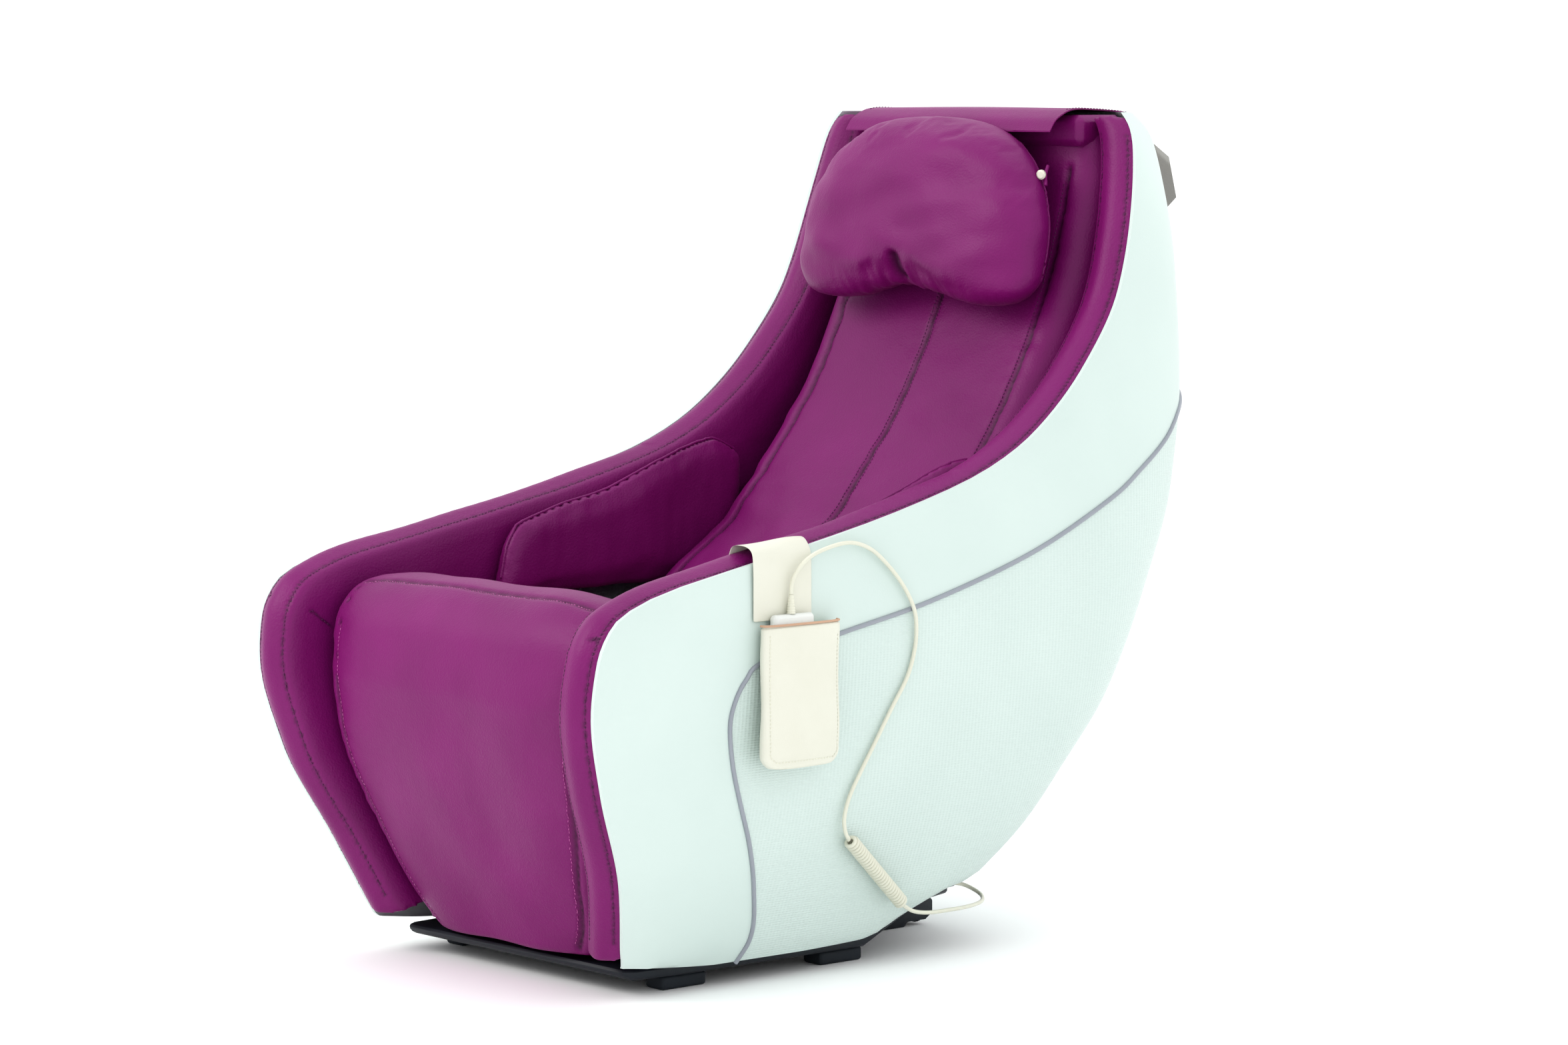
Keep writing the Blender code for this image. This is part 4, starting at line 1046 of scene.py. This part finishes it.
class CHAIR_OT_back(bpy.types.Operator):
    """Upholster the backrest: a centre seam with double stitching, gusset seams and soft folds"""
    bl_idname = "chair.back"
    bl_label = "Backrest"

    def execute(self, context):
        finish = plum_leather()
        dark = plum_thread()
        rings = []
        for angle in np.linspace(28.5, 84.0, 62):
            half = pad_half(angle, 0)
            front = []
            for t in np.linspace(-1, 1, 41):
                side = abs(t)
                out = PAD_CROWN * (1 - side ** 6) - 0.024 * max(0.0, (side - 0.86) / 0.14) ** 2
                y, z = pad_point(angle, out)
                front.append((t * half, y, z))
            back = []
            for t in np.linspace(1, -1, 21):
                y, z = pad_point(angle, -0.038)
                back.append((t * half * 0.99, y, z))
            rings.append(front + back)
        pad = loft("back_cover", rings, finish)
        subdivide(pad)
        middle = [(0.0, *pad_point(a, PAD_CROWN)) for a in np.linspace(29, 80, 200)]
        groove(pad, middle, 3.6 * MM, 3.6 * MM)
        edges = []
        for way in (-1, 1):
            line = []
            for a in np.linspace(29, 80, 160):
                line.append((way * pad_half(a, PAD_CROWN) * 0.80, *pad_point(a, PAD_CROWN)))
            edges.append(line)
            groove(pad, line, 4.0 * MM, 5.0 * MM)
        low = lambda p: np.clip((0.72 - p[:, 2]) / 0.2, 0.15, 1.0)
        ripple(pad, 0.10, 0.007 * fold_depth(), (0.7, 1.0, 1.9), low, seed=8.0)
        ripple(pad, 0.045, 0.0035 * fold_depth(), (0.8, 1.0, 1.5), low, seed=2.0)
        gathers = lambda p: (np.exp(-((np.abs(p[:, 0]) - 0.182) / 0.020) ** 2)
                             + np.exp(-(p[:, 0] / 0.020) ** 2))
        ripple(pad, 0.016, 0.0020 * fold_depth(), (0.25, 1.0, 1.0), gathers, seed=5.0)
        pad.data.shade_smooth()
        settle(pad, "root", "back_pad", slot="purple_leather", fill=0.6)
        for name, way in SIDES:
            sew(f"back_centre_stitches_{name}", pad, [(way * 0.006, y, z) for _, y, z in middle[4:-4]], dark)
        for (name, way), line in zip(SIDES, edges):
            near = [(x - way * 0.005, y, z) for x, y, z in line[4:-4]]
            sew(f"back_side_stitches_{name}", pad, near, dark)
        return {"FINISHED"}


SEAT_TOP = [(-0.405, 0.446), (-0.372, 0.437), (-0.325, 0.427), (-0.262, 0.417), (-0.200, 0.410),
            (-0.140, 0.405), (-0.083, 0.404)]


class CHAIR_OT_seat(bpy.types.Operator):
    """Upholster the seat between the hip cushions, dipping behind the roll at its front"""
    bl_idname = "chair.seat"
    bl_label = "Seat"

    def execute(self, context):
        finish = plum_leather()
        lo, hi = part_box("seat_pad")
        half = 0.5 * (hi.x - lo.x)
        y0, y1 = lo.y - ORIGIN.y, hi.y - ORIGIN.y + 0.018
        knots = smooth(SEAT_TOP)
        rings = []
        for t in np.linspace(0, 1, 44):
            y = y0 + (y1 - y0) * t
            top = float(knots(np.clip(y, -0.405, -0.083)))
            ends = min(1.0, 0.25 + 6 * t)
            wide = half if y > -0.32 else half * 0.99
            ring = []
            for u in np.linspace(-1, 1, 37):
                drop = 0.014 * abs(u) ** 5 + 0.018 * (1 - ends)
                dip = 0.006 * math.exp(-(u / 0.5) ** 2)
                ring.append((u * wide, y, top + 0.012 - dip - drop))
            for u in np.linspace(1, -1, 13):
                ring.append((u * wide * 0.985, y, top - 0.030))
            rings.append(ring)
        seat = loft("seat_cover", rings, finish)
        subdivide(seat)
        fold = [(x, -0.352 + 0.012 * math.cos(6 * x), 0.45) for x in np.linspace(-0.2, 0.2, 80)]
        groove(seat, fold, 5 * MM, 4 * MM)
        ripple(seat, 0.07, 0.005 * fold_depth(), (1.2, 0.8, 1.0), seed=11.0)
        ripple(seat, 0.030, 0.0018 * fold_depth(), (0.6, 1.4, 1.0), seed=4.0)
        seat.data.shade_smooth()
        settle(seat, "root", "seat_pad", slot="purple_leather", fill=0.5)
        sew("seat_stitches", seat, [(x, y - 0.006, z) for x, y, z in fold], plum_thread())
        return {"FINISHED"}


HIP_TOP = [(-0.282, 0.443), (-0.276, 0.467), (-0.270, 0.489), (-0.256, 0.513), (-0.240, 0.524),
           (-0.181, 0.543), (-0.100, 0.561), (-0.019, 0.591), (0.031, 0.608), (0.064, 0.614),
           (0.081, 0.613), (0.119, 0.594)]


class CHAIR_OT_hips(bpy.types.Operator):
    """Blow up the hip cushions beside the seat, with a piped edge and gathers"""
    bl_idname = "chair.hips"
    bl_label = "Hip cushions"

    def execute(self, context):
        finish = plum_leather()
        for name, way in SIDES:
            lo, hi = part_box(f"hip_cushion_{name}")
            if way > 0:
                inner_x, outer_x = lo.x - ORIGIN.x, hi.x - ORIGIN.x
            else:
                inner_x, outer_x = -(hi.x - ORIGIN.x), -(lo.x - ORIGIN.x)
            line = curve_through(HIP_TOP, 60)
            rings = []
            for y, z in line:
                foot = max(lo.z, 0.418)
                deep = max(z - foot, 0.012)
                thick = outer_x - inner_x
                ring = []
                for a in np.linspace(0, 2 * math.pi, 28, endpoint=False):
                    c, s = math.cos(a), math.sin(a)
                    u = squared_off(c, 0.7)
                    v = squared_off(s, 0.6)
                    ring.append((way * (0.5 * (inner_x + outer_x) + 0.5 * thick * 0.90 * u), y,
                                 foot + 0.5 * deep + 0.5 * deep * 0.97 * v))
                rings.append(ring)
            cushion = loft(f"hip_cushion_{name}_finished", rings, finish)
            plump(cushion, 0.0052, pressure=5.0, cap=0.005)
            edge = [(way * (inner_x + 0.0105), y, z - 0.004) for y, z in line[2:-1]]
            for offset in (-0.005, 0.005):
                press(cushion, [(x, y, z + offset) for x, y, z in edge], 3.0 * MM, 2.2 * MM)
            near = lambda p: np.exp(-((np.abs(p[:, 0]) - inner_x) / 0.05) ** 2)
            ripple(cushion, 0.022, 0.0008 * fold_depth(), (1.0, 1.3, 0.5), near, seed=20.0 + way)
            ripple(cushion, 0.07, 0.003 * fold_depth(), (1.0, 1.0, 0.7), near, seed=27.0 + way)
            cushion.data.shade_smooth()
            settle(cushion, "root", f"hip_cushion_{name}", slot="purple_leather", fill=0.8)
            bead = on_surface(cushion, edge, 0.3 * MM)
            settle(tube(f"hip_piping_{name}", bead, 1.9 * MM, finish, sides=8), "root", slot="purple_leather")
        return {"FINISHED"}


# ---- pillow -------------------------------------------------------------------------------------------
PILLOW_HALF, PILLOW_UP, PILLOW_DOWN = 0.222, 0.123, 0.126
PILLOW_Y, PILLOW_Z, PILLOW_THICK = 0.283, 0.906, 0.104
PILLOW_LEAN = 0.16                       # metres back for each metre up


class CHAIR_OT_pillow(bpy.types.Operator):
    """Blow up the head pillow, with its edge seam, centre gather, zip pull and flap over the top"""
    bl_idname = "chair.pillow"
    bl_label = "Pillow"

    def execute(self, context):
        finish = plum_leather()
        dark = plum_thread()
        pillow = self.body(finish)
        settle(pillow, "pillow", "head_pillow", slot="purple_leather", fill=0.75)
        self.trim(pillow, finish, dark)
        self.flap(finish, dark)
        return {"FINISHED"}

    def outline(self, angle):
        """(x, up from its middle) of the pillow's edge: domed on top, sloping at its sides, scooped below."""
        c, s = math.cos(angle), math.sin(angle)
        widest = 0.058
        if s >= 0:
            x = PILLOW_HALF * squared_off(c, 0.80)
            return x, -widest + (PILLOW_UP + widest) * abs(s) ** 0.86
        x = PILLOW_HALF * squared_off(c, 0.48)
        scoop = 0.022 * math.exp(-(x / 0.11) ** 2)
        return x * (1 - 0.05 * abs(s)), -widest - (PILLOW_DOWN - widest - scoop) * abs(s) ** 0.5

    def body(self, finish):
        rings = []
        for depth in np.linspace(-1, 1, 25):
            full = (1 - abs(depth) ** 2.4) ** 0.5
            shrink = 0.30 + 0.70 * full
            ring = []
            for a in np.linspace(0, 2 * math.pi, 72, endpoint=False):
                x, up = self.outline(a)
                z = PILLOW_Z + up * shrink
                back = PILLOW_Y - 0.5 * PILLOW_THICK * (1 + depth)
                # The pillow leans back with the backrest behind it.
                lean = PILLOW_LEAN * (z - PILLOW_Z)
                ring.append((x * shrink, back + lean, z))
            rings.append(ring)
        pillow = loft("head_pillow_finished", rings, finish)
        plump(pillow, 0.0058, pressure=4.0, cap=0.006)
        front = lambda p: np.clip((0.26 - p[:, 1]) / 0.03, 0.0, 1.0)
        ripple(pillow, 0.055, 0.0055 * fold_depth(), (0.7, 1.0, 1.5), front, seed=30.0)
        low = lambda p: np.clip((0.845 - p[:, 2]) / 0.04, 0.0, 1.0) * np.exp(-(p[:, 0] / 0.11) ** 2)
        ripple(pillow, 0.018, 0.0035 * fold_depth(), (1.7, 1.0, 0.5), low, seed=33.0)
        pillow.data.shade_smooth()
        return pillow

    def trim(self, pillow, finish, dark):
        """Edge piping round the pillow, the centre gather, the zip pull and their stitching."""
        edge = []
        for a in np.linspace(0, 2 * math.pi, 220, endpoint=False):
            x, up = self.outline(a)
            z = PILLOW_Z + 0.93 * up
            edge.append((0.955 * x, PILLOW_Y - 0.30 * PILLOW_THICK + PILLOW_LEAN * (z - PILLOW_Z), z))
        edge.append(edge[0])
        groove(pillow, edge, 3.4 * MM, 2.4 * MM)
        bead = on_surface(pillow, edge, 0.4 * MM)
        settle(tube("pillow_edge_piping", bead, 2.0 * MM, finish, sides=8), "pillow", slot="purple_leather")
        inside = [(0.93 * x, y - 0.004, PILLOW_Z + 0.93 * (z - PILLOW_Z)) for x, y, z in edge]
        sew("pillow_edge_stitches", pillow, inside, dark, "pillow")
        gather = [(0.0, PILLOW_Y - PILLOW_THICK - 0.01, z) for z in np.linspace(0.800, 0.845, 20)]
        groove(pillow, gather, 9 * MM, 6 * MM)
        profile = [(-0.002, 0.0045), (0.0, 0.006), (0.003, 0.0062), (0.005, 0.004)]
        pull = turned("pillow_zip_pull", (0.194, 0.246, 0.952), (0.35, -1.0, -0.2), profile, cream_vinyl(),
                      sides=20)
        settle(pull, "pillow", slot="grey_plastic")
        settle(tube("pillow_zip_tape", [(0.188, 0.262, 0.962), (0.194, 0.252, 0.952), (0.199, 0.248, 0.938)],
                    2.2 * MM, finish, sides=8), "pillow", slot="purple_leather")

    def flap(self, finish, dark):
        """The leather flap over the top: a sheet hinged between the wings and the pillow."""
        lo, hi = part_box("pillow_flap_rear")
        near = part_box("pillow_flap_front")[0]
        half = 0.5 * (hi.x - lo.x)
        rear, front = hi.y - ORIGIN.y, near.y - ORIGIN.y
        top = hi.z
        line = [(rear, top - 0.010), (rear - 0.010, top - 0.0045), (0.362, top - 0.0018),
                (0.336, top - 0.0006), (0.316, top), (0.299, top - 0.0016), (0.286, top - 0.0062),
                (0.272, top - 0.0145), (max(front, 0.262), top - 0.028)]
        route = even(curve_through(line, 60), 46)
        outer, inner = [], []
        for y, z in route:
            bulge = 0.0016 * math.sin(20 * y)
            run = np.linspace(-half + bulge, half - bulge, 60)
            outer.append([(x, y, z + 0.0006 * math.cos(14 * x)) for x in run])
            inner.append([(x, y + 0.0002, z - 0.0022) for x in run])
        flap = skin("pillow_flap_finished", outer, inner, finish)
        flap.data.shade_smooth()
        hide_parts("pillow_flap_rear", "pillow_flap_front")
        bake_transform(flap)
        for name, way in SIDES:
            line = [(way * (half - 0.006), y, z + 0.002) for y, z in route[2:34]]
            sew(f"flap_stitches_{name}", flap, line, dark)


# ---- leg rest -----------------------------------------------------------------------------------------
GUSSET = 0.016                           # strip outside each side seam
REST_TOP = 0.345                         # top of the flat front, below the roll


class CHAIR_OT_leg_rest(bpy.types.Operator):
    """Upholster the leg rest: a front panel, gusset strips beside it, a roll on top and stitched seams"""
    bl_idname = "chair.leg_rest"
    bl_label = "Leg rest"

    def execute(self, context):
        finish = plum_leather()
        light = thread("polyester thread, pink", "#A8408C", "#C46AA8")
        lo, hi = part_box("leg_rest_cover")
        half_box = 0.5 * (hi.x - lo.x)
        rings = []
        for z in np.linspace(0.037, REST_TOP, 44):
            rings.append(self.section(z, float(rest_front(z)), min(float(rest_seam(z)) + GUSSET, half_box)))
        for a in np.linspace(8, 172, 34):
            c, s = math.cos(math.radians(a)), math.sin(math.radians(a))
            y, z = ROLL_Y - ROLL_R * c, ROLL_Z + ROLL_R * s
            if z < 0.352 and y < ROLL_Y:
                continue
            rings.append(self.roll(y, z, min(0.246, half_box)))
        cover = loft("leg_rest_finished", rings, finish)
        remesh(cover, 0.0044)
        ease(cover, 8)
        seams = []
        for way in (-1, 1):
            heights = np.concatenate([np.linspace(0.044, REST_TOP, 90), [0.371, 0.415, 0.445, 0.460]])
            line = []
            for z in heights:
                if z <= REST_TOP:
                    y = float(rest_front(z))
                else:
                    y = ROLL_Y - math.sqrt(ROLL_R ** 2 - (z - ROLL_Z) ** 2)
                line.append((way * float(rest_seam(min(z, 0.47))), y - 0.004, z))
            seams.append(line)
        across = [(x, -0.490, 0.458) for x in np.linspace(-0.228, 0.228, 120)]
        for line in seams:
            groove(cover, line, 3.6 * MM, 4.4 * MM)
        groove(cover, across, 3.4 * MM, 3.4 * MM)
        ripple(cover, 0.09, 0.0035 * fold_depth(), (1.0, 1.0, 1.0), seed=40.0)
        side = lambda p: np.exp(-((np.abs(p[:, 0]) - 0.215) / 0.022) ** 2)
        ripple(cover, 0.02, 0.0016 * fold_depth(), (0.4, 1.0, 1.0), side, seed=44.0)
        cover.data.shade_smooth()
        settle(cover, "leg_rest", "leg_rest_cover", slot="purple_leather", fill=0.85)
        for (name, _), line in zip(SIDES, seams):
            beside = [(x * 0.972, y, z) for x, y, z in line[2:-2]]
            sew(f"leg_rest_stitches_{name}", cover, beside, light, "leg_rest")
        below = [(x, y, z - 0.007) for x, y, z in across]
        sew("leg_rest_stitches_top", cover, below, light, "leg_rest")
        for name, way in SIDES:
            edge = float(rest_seam(0.052))
            tab = [(way * (edge + 0.002), -0.448, 0.058), (way * (edge + 0.014), -0.441, 0.052),
                   (way * (edge + 0.021), -0.431, 0.047)]
            strip = tube(f"leg_rest_tab_{name}", tab, [3.5 * MM, 6 * MM, 4 * MM], finish, sides=6)
            settle(strip, "leg_rest", slot="purple_leather")
        return {"FINISHED"}

    def section(self, z, front, half):
        """A level section of the padded front: crowned across, rounded at its corners, flat behind."""
        thick = 0.078
        points = []
        for u in np.linspace(-1, 1, 37):
            crown = 0.014 * (1 - abs(u) ** 5.0)
            points.append((u * half * (1 - 0.012 * abs(u) ** 12), front + 0.014 - crown - 0.006, z))
        for u in np.linspace(1, -1, 13):
            points.append((u * half * 0.95, front + thick, z))
        return points

    def roll(self, y, z, half):
        """A section of the roll on top, square to it."""
        out = np.array([y - ROLL_Y, z - ROLL_Z]) / ROLL_R
        points = []
        for u in np.linspace(-1, 1, 37):
            drop = 0.012 * abs(u) ** 6
            points.append((u * half, y - drop * out[0], z - drop * out[1]))
        for u in np.linspace(1, -1, 13):
            points.append((u * half * 0.95, y - 0.045 * out[0], z - 0.045 * out[1]))
        return points


# ---- pocket and handset -------------------------------------------------------------------------------
STRAP_Y = (-0.352, -0.262)               # front and rear edge of the strap
POUCH_Y, POUCH_Z = (-0.347, -0.230), (0.272, 0.440)
POUCH_BACK, POUCH_DEEP = 0.3362, 0.0205


class CHAIR_OT_pocket(bpy.types.Operator):
    """Sew the handset's leather pocket and strap, with stitching and the raw edge of its mouth"""
    bl_idname = "chair.pocket"
    bl_label = "Pocket"

    def execute(self, context):
        finish = cream_leather()
        white = thread("polyester thread, cream", "#DCDCCB")
        pouch_y, pouch_z, deep = POUCH_Y, POUCH_Z, POUCH_DEEP
        rings = []
        for z in np.linspace(pouch_z[0], pouch_z[1], 46):
            low = z - pouch_z[0]
            inset = 0.014 * max(0.0, 1 - low / 0.014) ** 1.5
            front, back = pouch_y[0] + inset, pouch_y[1] - inset
            width, half_depth = back - front, 0.5 * deep
            ring = []
            for a in np.linspace(0, 2 * math.pi, 56, endpoint=False):
                c, s = math.cos(a), math.sin(a)
                u = squared_off(c, 0.55)
                v = squared_off(s, 0.75)
                # The face bulges over the handset and flattens at the seams.
                bulge = 1.0 + 0.10 * math.exp(-((z - 0.352) / 0.05) ** 2)
                x = POUCH_BACK + 0.5 * deep + half_depth * v * (bulge if v > 0 else 1.0)
                y = 0.5 * (front + back) + 0.5 * width * u
                ring.append((x, y, z))
            rings.append(ring)
        pouch = loft("remote_pocket_finished", rings, finish)
        subdivide(pouch)
        ripple(pouch, 0.05, 0.0016 * fold_depth(), seed=60.0)
        pouch.data.shade_smooth()
        settle(pouch, "root", "remote_pocket", slot="cream_leather")
        strap = []
        for y in np.linspace(*STRAP_Y, 13):
            hang = 0.003 * math.sin(40 * y)
            strap.append([(x, y, z) for x, z in self.strap_line(hang)])
        inner = [[(x - 0.0022, y, z - 0.0006) for x, y, z in row] for row in strap]
        sling = skin("remote_pocket_strap", strap, inner, finish)
        subdivide(sling)
        sling.data.shade_smooth()
        settle(sling, "root", slot="cream_leather")
        hem = raw_edge()
        x, z = self.strap_line(0)[0]
        lip = even([(x, y, z + 0.0006) for y in np.linspace(*STRAP_Y, 20)], 40)
        settle(tube("pocket_strap_edge", lip, 1.1 * MM, hem, sides=8), "root", slot="cream_leather")
        mouth = []
        for a in np.linspace(-0.1, math.pi + 0.1, 40):
            u = squared_off(math.cos(a), 0.55)
            v = squared_off(math.sin(a), 0.75)
            y = 0.5 * (pouch_y[0] + pouch_y[1]) + 0.5 * (pouch_y[1] - pouch_y[0]) * u
            mouth.append((POUCH_BACK + 0.5 * deep + 0.5 * deep * v, y, pouch_z[1] + 0.0008))
        settle(tube("pocket_mouth_edge", mouth, 1.4 * MM, hem, sides=8), "root", slot="cream_leather")
        seam = [(0.357, pouch_y[0] + 0.006, z) for z in np.linspace(0.428, 0.288, 60)]
        seam += [(0.357, y, 0.281) for y in np.linspace(pouch_y[0] + 0.014, pouch_y[1] - 0.014, 40)]
        seam += [(0.357, pouch_y[1] - 0.006, z) for z in np.linspace(0.288, 0.428, 60)]
        sew("pocket_stitches", pouch, seam, white, slot="cream_leather", closer=0.9, length=3.0)
        return {"FINISHED"}

    def strap_line(self, hang):
        """(x, z) of the strap from inside the rim, over it and down to the pouch."""
        base = [(0.2935, 0.505), (0.2945, 0.520), (0.3010, 0.531), (0.3145, 0.5355 + hang),
                (0.3255, 0.5345 + hang), (0.3340, 0.5275), (0.3374, 0.5180), (0.3380, 0.4930),
                (0.3380, 0.4700), (0.3380, 0.4450)]
        return [(x, z) for x, z in even(curve_through(base, 40), 34)]


class CHAIR_OT_handset(bpy.types.Operator):
    """Finish the handset: body, keys, strain relief and a sensor window in its back"""
    bl_idname = "chair.handset"
    bl_label = "Handset"

    def execute(self, context):
        rounded_copy("remote_case", white_abs(), 4.0, 4)
        for key in ("power", "program", "up", "down"):
            rounded_copy(f"remote_key_{key}", grey_silicone(), 1.0, 2)
        lo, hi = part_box("remote_strain_relief")
        middle = 0.5 * (lo + hi) - ORIGIN
        profile = []
        for t in np.linspace(0, 1, 26):
            z = t * (hi.z - lo.z)
            ridge = 0.00035 * math.cos(2 * math.pi * 7 * t)
            profile.append((z, (0.0052 - 0.0024 * t) + ridge))
        foot = (middle.x, middle.y, lo.z - ORIGIN.z)
        relief = turned("remote_strain_relief_finished", foot, (0, 0, 1), profile, cream_vinyl(), sides=28)
        settle(relief, "handset", "remote_strain_relief", slot="cord_vinyl")
        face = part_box("remote_case")[0].x - ORIGIN.x - 0.0002
        eye_y, eye_z = -0.298, 0.415
        window = turned("handset_window", (face - 0.0006, eye_y, eye_z), (1, 0, 0),
                        [(0.0, 0.0115), (0.0008, 0.0120)], black_polypropylene())
        settle(window, "handset", slot="motor_black")
        lens = turned("handset_eye_lens", (face - 0.0003, eye_y, eye_z), (-1, 0, 0),
                      [(-0.0004, 0.0090), (0.0006, 0.0054)], grey_silicone(), sides=28)
        settle(lens, "handset", slot="remote_plastic")
        return {"FINISHED"}


# ---- handle -------------------------------------------------------------------------------------------
class CHAIR_OT_handle(bpy.types.Operator):
    """Polish the chrome carrying handle, with its grip inset and end screws"""
    bl_idname = "chair.handle"
    bl_label = "Carrying handle"

    def execute(self, context):
        shine, dark = chrome(), black_rubber()
        rounded_copy("carry_handle", shine, 1.6, 3)
        rounded_copy("handle_grip_inset", dark, 1.2, 2)
        lo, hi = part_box("carry_handle")
        for name, way in SIDES:
            x = way * (0.5 * (hi.x - lo.x) - 0.001) + 0.5 * (hi.x + lo.x) - ORIGIN.x
            for level, (y, z) in enumerate(((0.433, 0.967), (0.451, 0.904))):
                # The screw heads are black as painted shade, standing in for the dark screw holes at the
                # handle's ends.
                profile = [(-0.0040, 0.0045), (0.0014, 0.0056), (0.0022, 0.0046), (0.0023, 0.0010)]
                head = turned(f"handle_screw_{name}_{level}", (x, y, z), (way, 0, 0), profile, dark, sides=20)
                settle(head, "root", slot="chrome")
        return {"FINISHED"}


# ---- pieces kept as moulded ----------------------------------------------------------------------------
class CHAIR_OT_hard_parts(bpy.types.Operator):
    """Give the tray, feet, brackets, wheels, inlet and works their edges and finishes"""
    bl_idname = "chair.hard_parts"
    bl_label = "Hard parts"

    def execute(self, context):
        # Each finish with its pieces and the width of their rounded edges, in millimetres.
        groups = (
            (black_polypropylene(), (("base_tray", 1.5), ("wheel_bracket", 2.0), ("cord_gland", 0.8),
                                     ("mains_inlet", 1.0), ("power_rocker", 0.8), ("air_pump", 1.5),
                                     ("travel_motor", 1.5), ("kneading_motor", 1.5), ("massage_arm", 1.0))),
            (plum_leather(), (("top_cap", 2.0),)),
            (black_rubber(), (("foot_front", 3.0), ("foot_middle", 3.0), ("transport_wheel", 1.5))),
            (zinc_steel(), (("power_supply", 1.0), ("side_frame", 0.8), ("guide_rail", 1.0),
                            ("leg_rest_axle", 0.6), ("carriage_frame", 1.0), ("kneading_shaft", 0.4),
                            ("pinion_shaft", 0.4))),
            (grey_silicone(), (("valve_block", 1.5), ("calf_air_cell", 2.0))),
            (plywood(), (("seat_deck", 1.0),)))
        for finish, pieces in groups:
            for piece, width in pieces:
                for node in [piece] if piece in frame["nodes"] else [f"{piece}_{name}" for name, _ in SIDES]:
                    rounded_copy(node, finish, width, 2)
        nylon = grained("nylon, off white", "#D8D8D2", "#C4C4BC", 0.42, 1.0, 0.03)
        for name, _ in SIDES:
            for level in ("upper", "lower"):
                rounded_copy(f"massage_roller_{level}_{name}", nylon, 1.5, 3)
        return {"FINISHED"}


# ---- stage --------------------------------------------------------------------------------------------
class CHAIR_OT_studio(bpy.types.Operator):
    """Set the pale floor and the soft lights of a studio"""
    bl_idname = "chair.studio"
    bl_label = "Studio"

    def execute(self, context):
        scene = context.scene
        wide = 60.0
        corners = [(-wide, -wide, 0.0), (wide, -wide, 0.0), (wide, wide, 0.0), (-wide, wide, 0.0)]
        floor = make("floor", corners, [(0, 1, 2, 3)], self.paint())
        for name, size, power, place, aim in (
                ("key", 2.2, 58, (-1.6, -3.4, 3.0), (0, 0, 0.6)),
                ("fill", 3.2, 8, (3.2, -1.2, 1.8), (0, 0, 0.5)),
                ("rear", 2.4, 10, (0.9, 3.0, 2.3), (0, 0, 0.7)),
                ("top", 3.4, 22, (-0.2, 0.4, 3.8), (0, 0, 0.5))):
            lamp = bpy.data.lights.new(f"{name}_light", "AREA")
            lamp.energy, lamp.size = power, size
            lamp.color = (1.0, 0.98, 0.95) if name == "key" else (0.95, 0.98, 1.0)
            light = bpy.data.objects.new(f"{name}_light", lamp)
            scene.collection.objects.link(light)
            light.location = place
            light.rotation_euler = (Vector(aim) - Vector(place)).to_track_quat("-Z", "Y").to_euler()
        world = bpy.data.worlds.new("studio")
        world.use_nodes = True
        background = world.node_tree.nodes["Background"]
        background.inputs["Color"].default_value = linear("#FFFFFF")
        background.inputs["Strength"].default_value = 1.0
        scene.world = world
        scene.view_settings.view_transform = "Standard"
        scene.view_settings.look = "Medium High Contrast"
        return {"FINISHED"}

    def paint(self):
        """Matt white paper sweep: even, faintly cool, with a soft fall of tone."""
        made, tree, shader, place = surface("paper, white", 0.92)
        if tree is None:
            return made
        cloud = add(tree, "ShaderNodeTexNoise", {}, {"Vector": place, "Scale": 1000 / 900, "Detail": 1.0})
        shade(tree, shader, "Base Color", linear("#FBFCFD"), linear("#FFFFFF"), cloud.outputs["Fac"])
        bump(tree, shader, cloud.outputs["Fac"], 0.3)
        return made


# ---- panel ---------------------------------------------------------------------------------------------
PIECES = (CHAIR_OT_camera, CHAIR_OT_cord, CHAIR_OT_shell, CHAIR_OT_arms, CHAIR_OT_back, CHAIR_OT_seat,
          CHAIR_OT_hips, CHAIR_OT_pillow, CHAIR_OT_leg_rest, CHAIR_OT_pocket, CHAIR_OT_handset,
          CHAIR_OT_handle, CHAIR_OT_hard_parts, CHAIR_OT_studio)


class CHAIR_PT_pieces(bpy.types.Panel):
    """Lists the pieces and their settings"""
    bl_label = "Massage chair"
    bl_idname = "CHAIR_PT_pieces"
    bl_space_type = "VIEW_3D"
    bl_region_type = "UI"
    bl_category = "Chair"

    def draw(self, context):
        for name in MassageChairSettings.__annotations__:
            self.layout.prop(context.scene.massage_chair, name)
        for piece in PIECES:
            self.layout.operator(piece.bl_idname)


CLASSES = (MassageChairSettings,) + PIECES + (CHAIR_PT_pieces,)


def register():
    for cls in CLASSES:
        bpy.utils.register_class(cls)
    bpy.types.Scene.massage_chair = bpy.props.PointerProperty(type=MassageChairSettings)


def unregister():
    del bpy.types.Scene.massage_chair
    for cls in reversed(CLASSES):
        bpy.utils.unregister_class(cls)


def main():
    register()
    for piece in PIECES:
        group, name = piece.bl_idname.split(".")
        getattr(getattr(bpy.ops, group), name)()


if __name__ == "__main__":
    main()
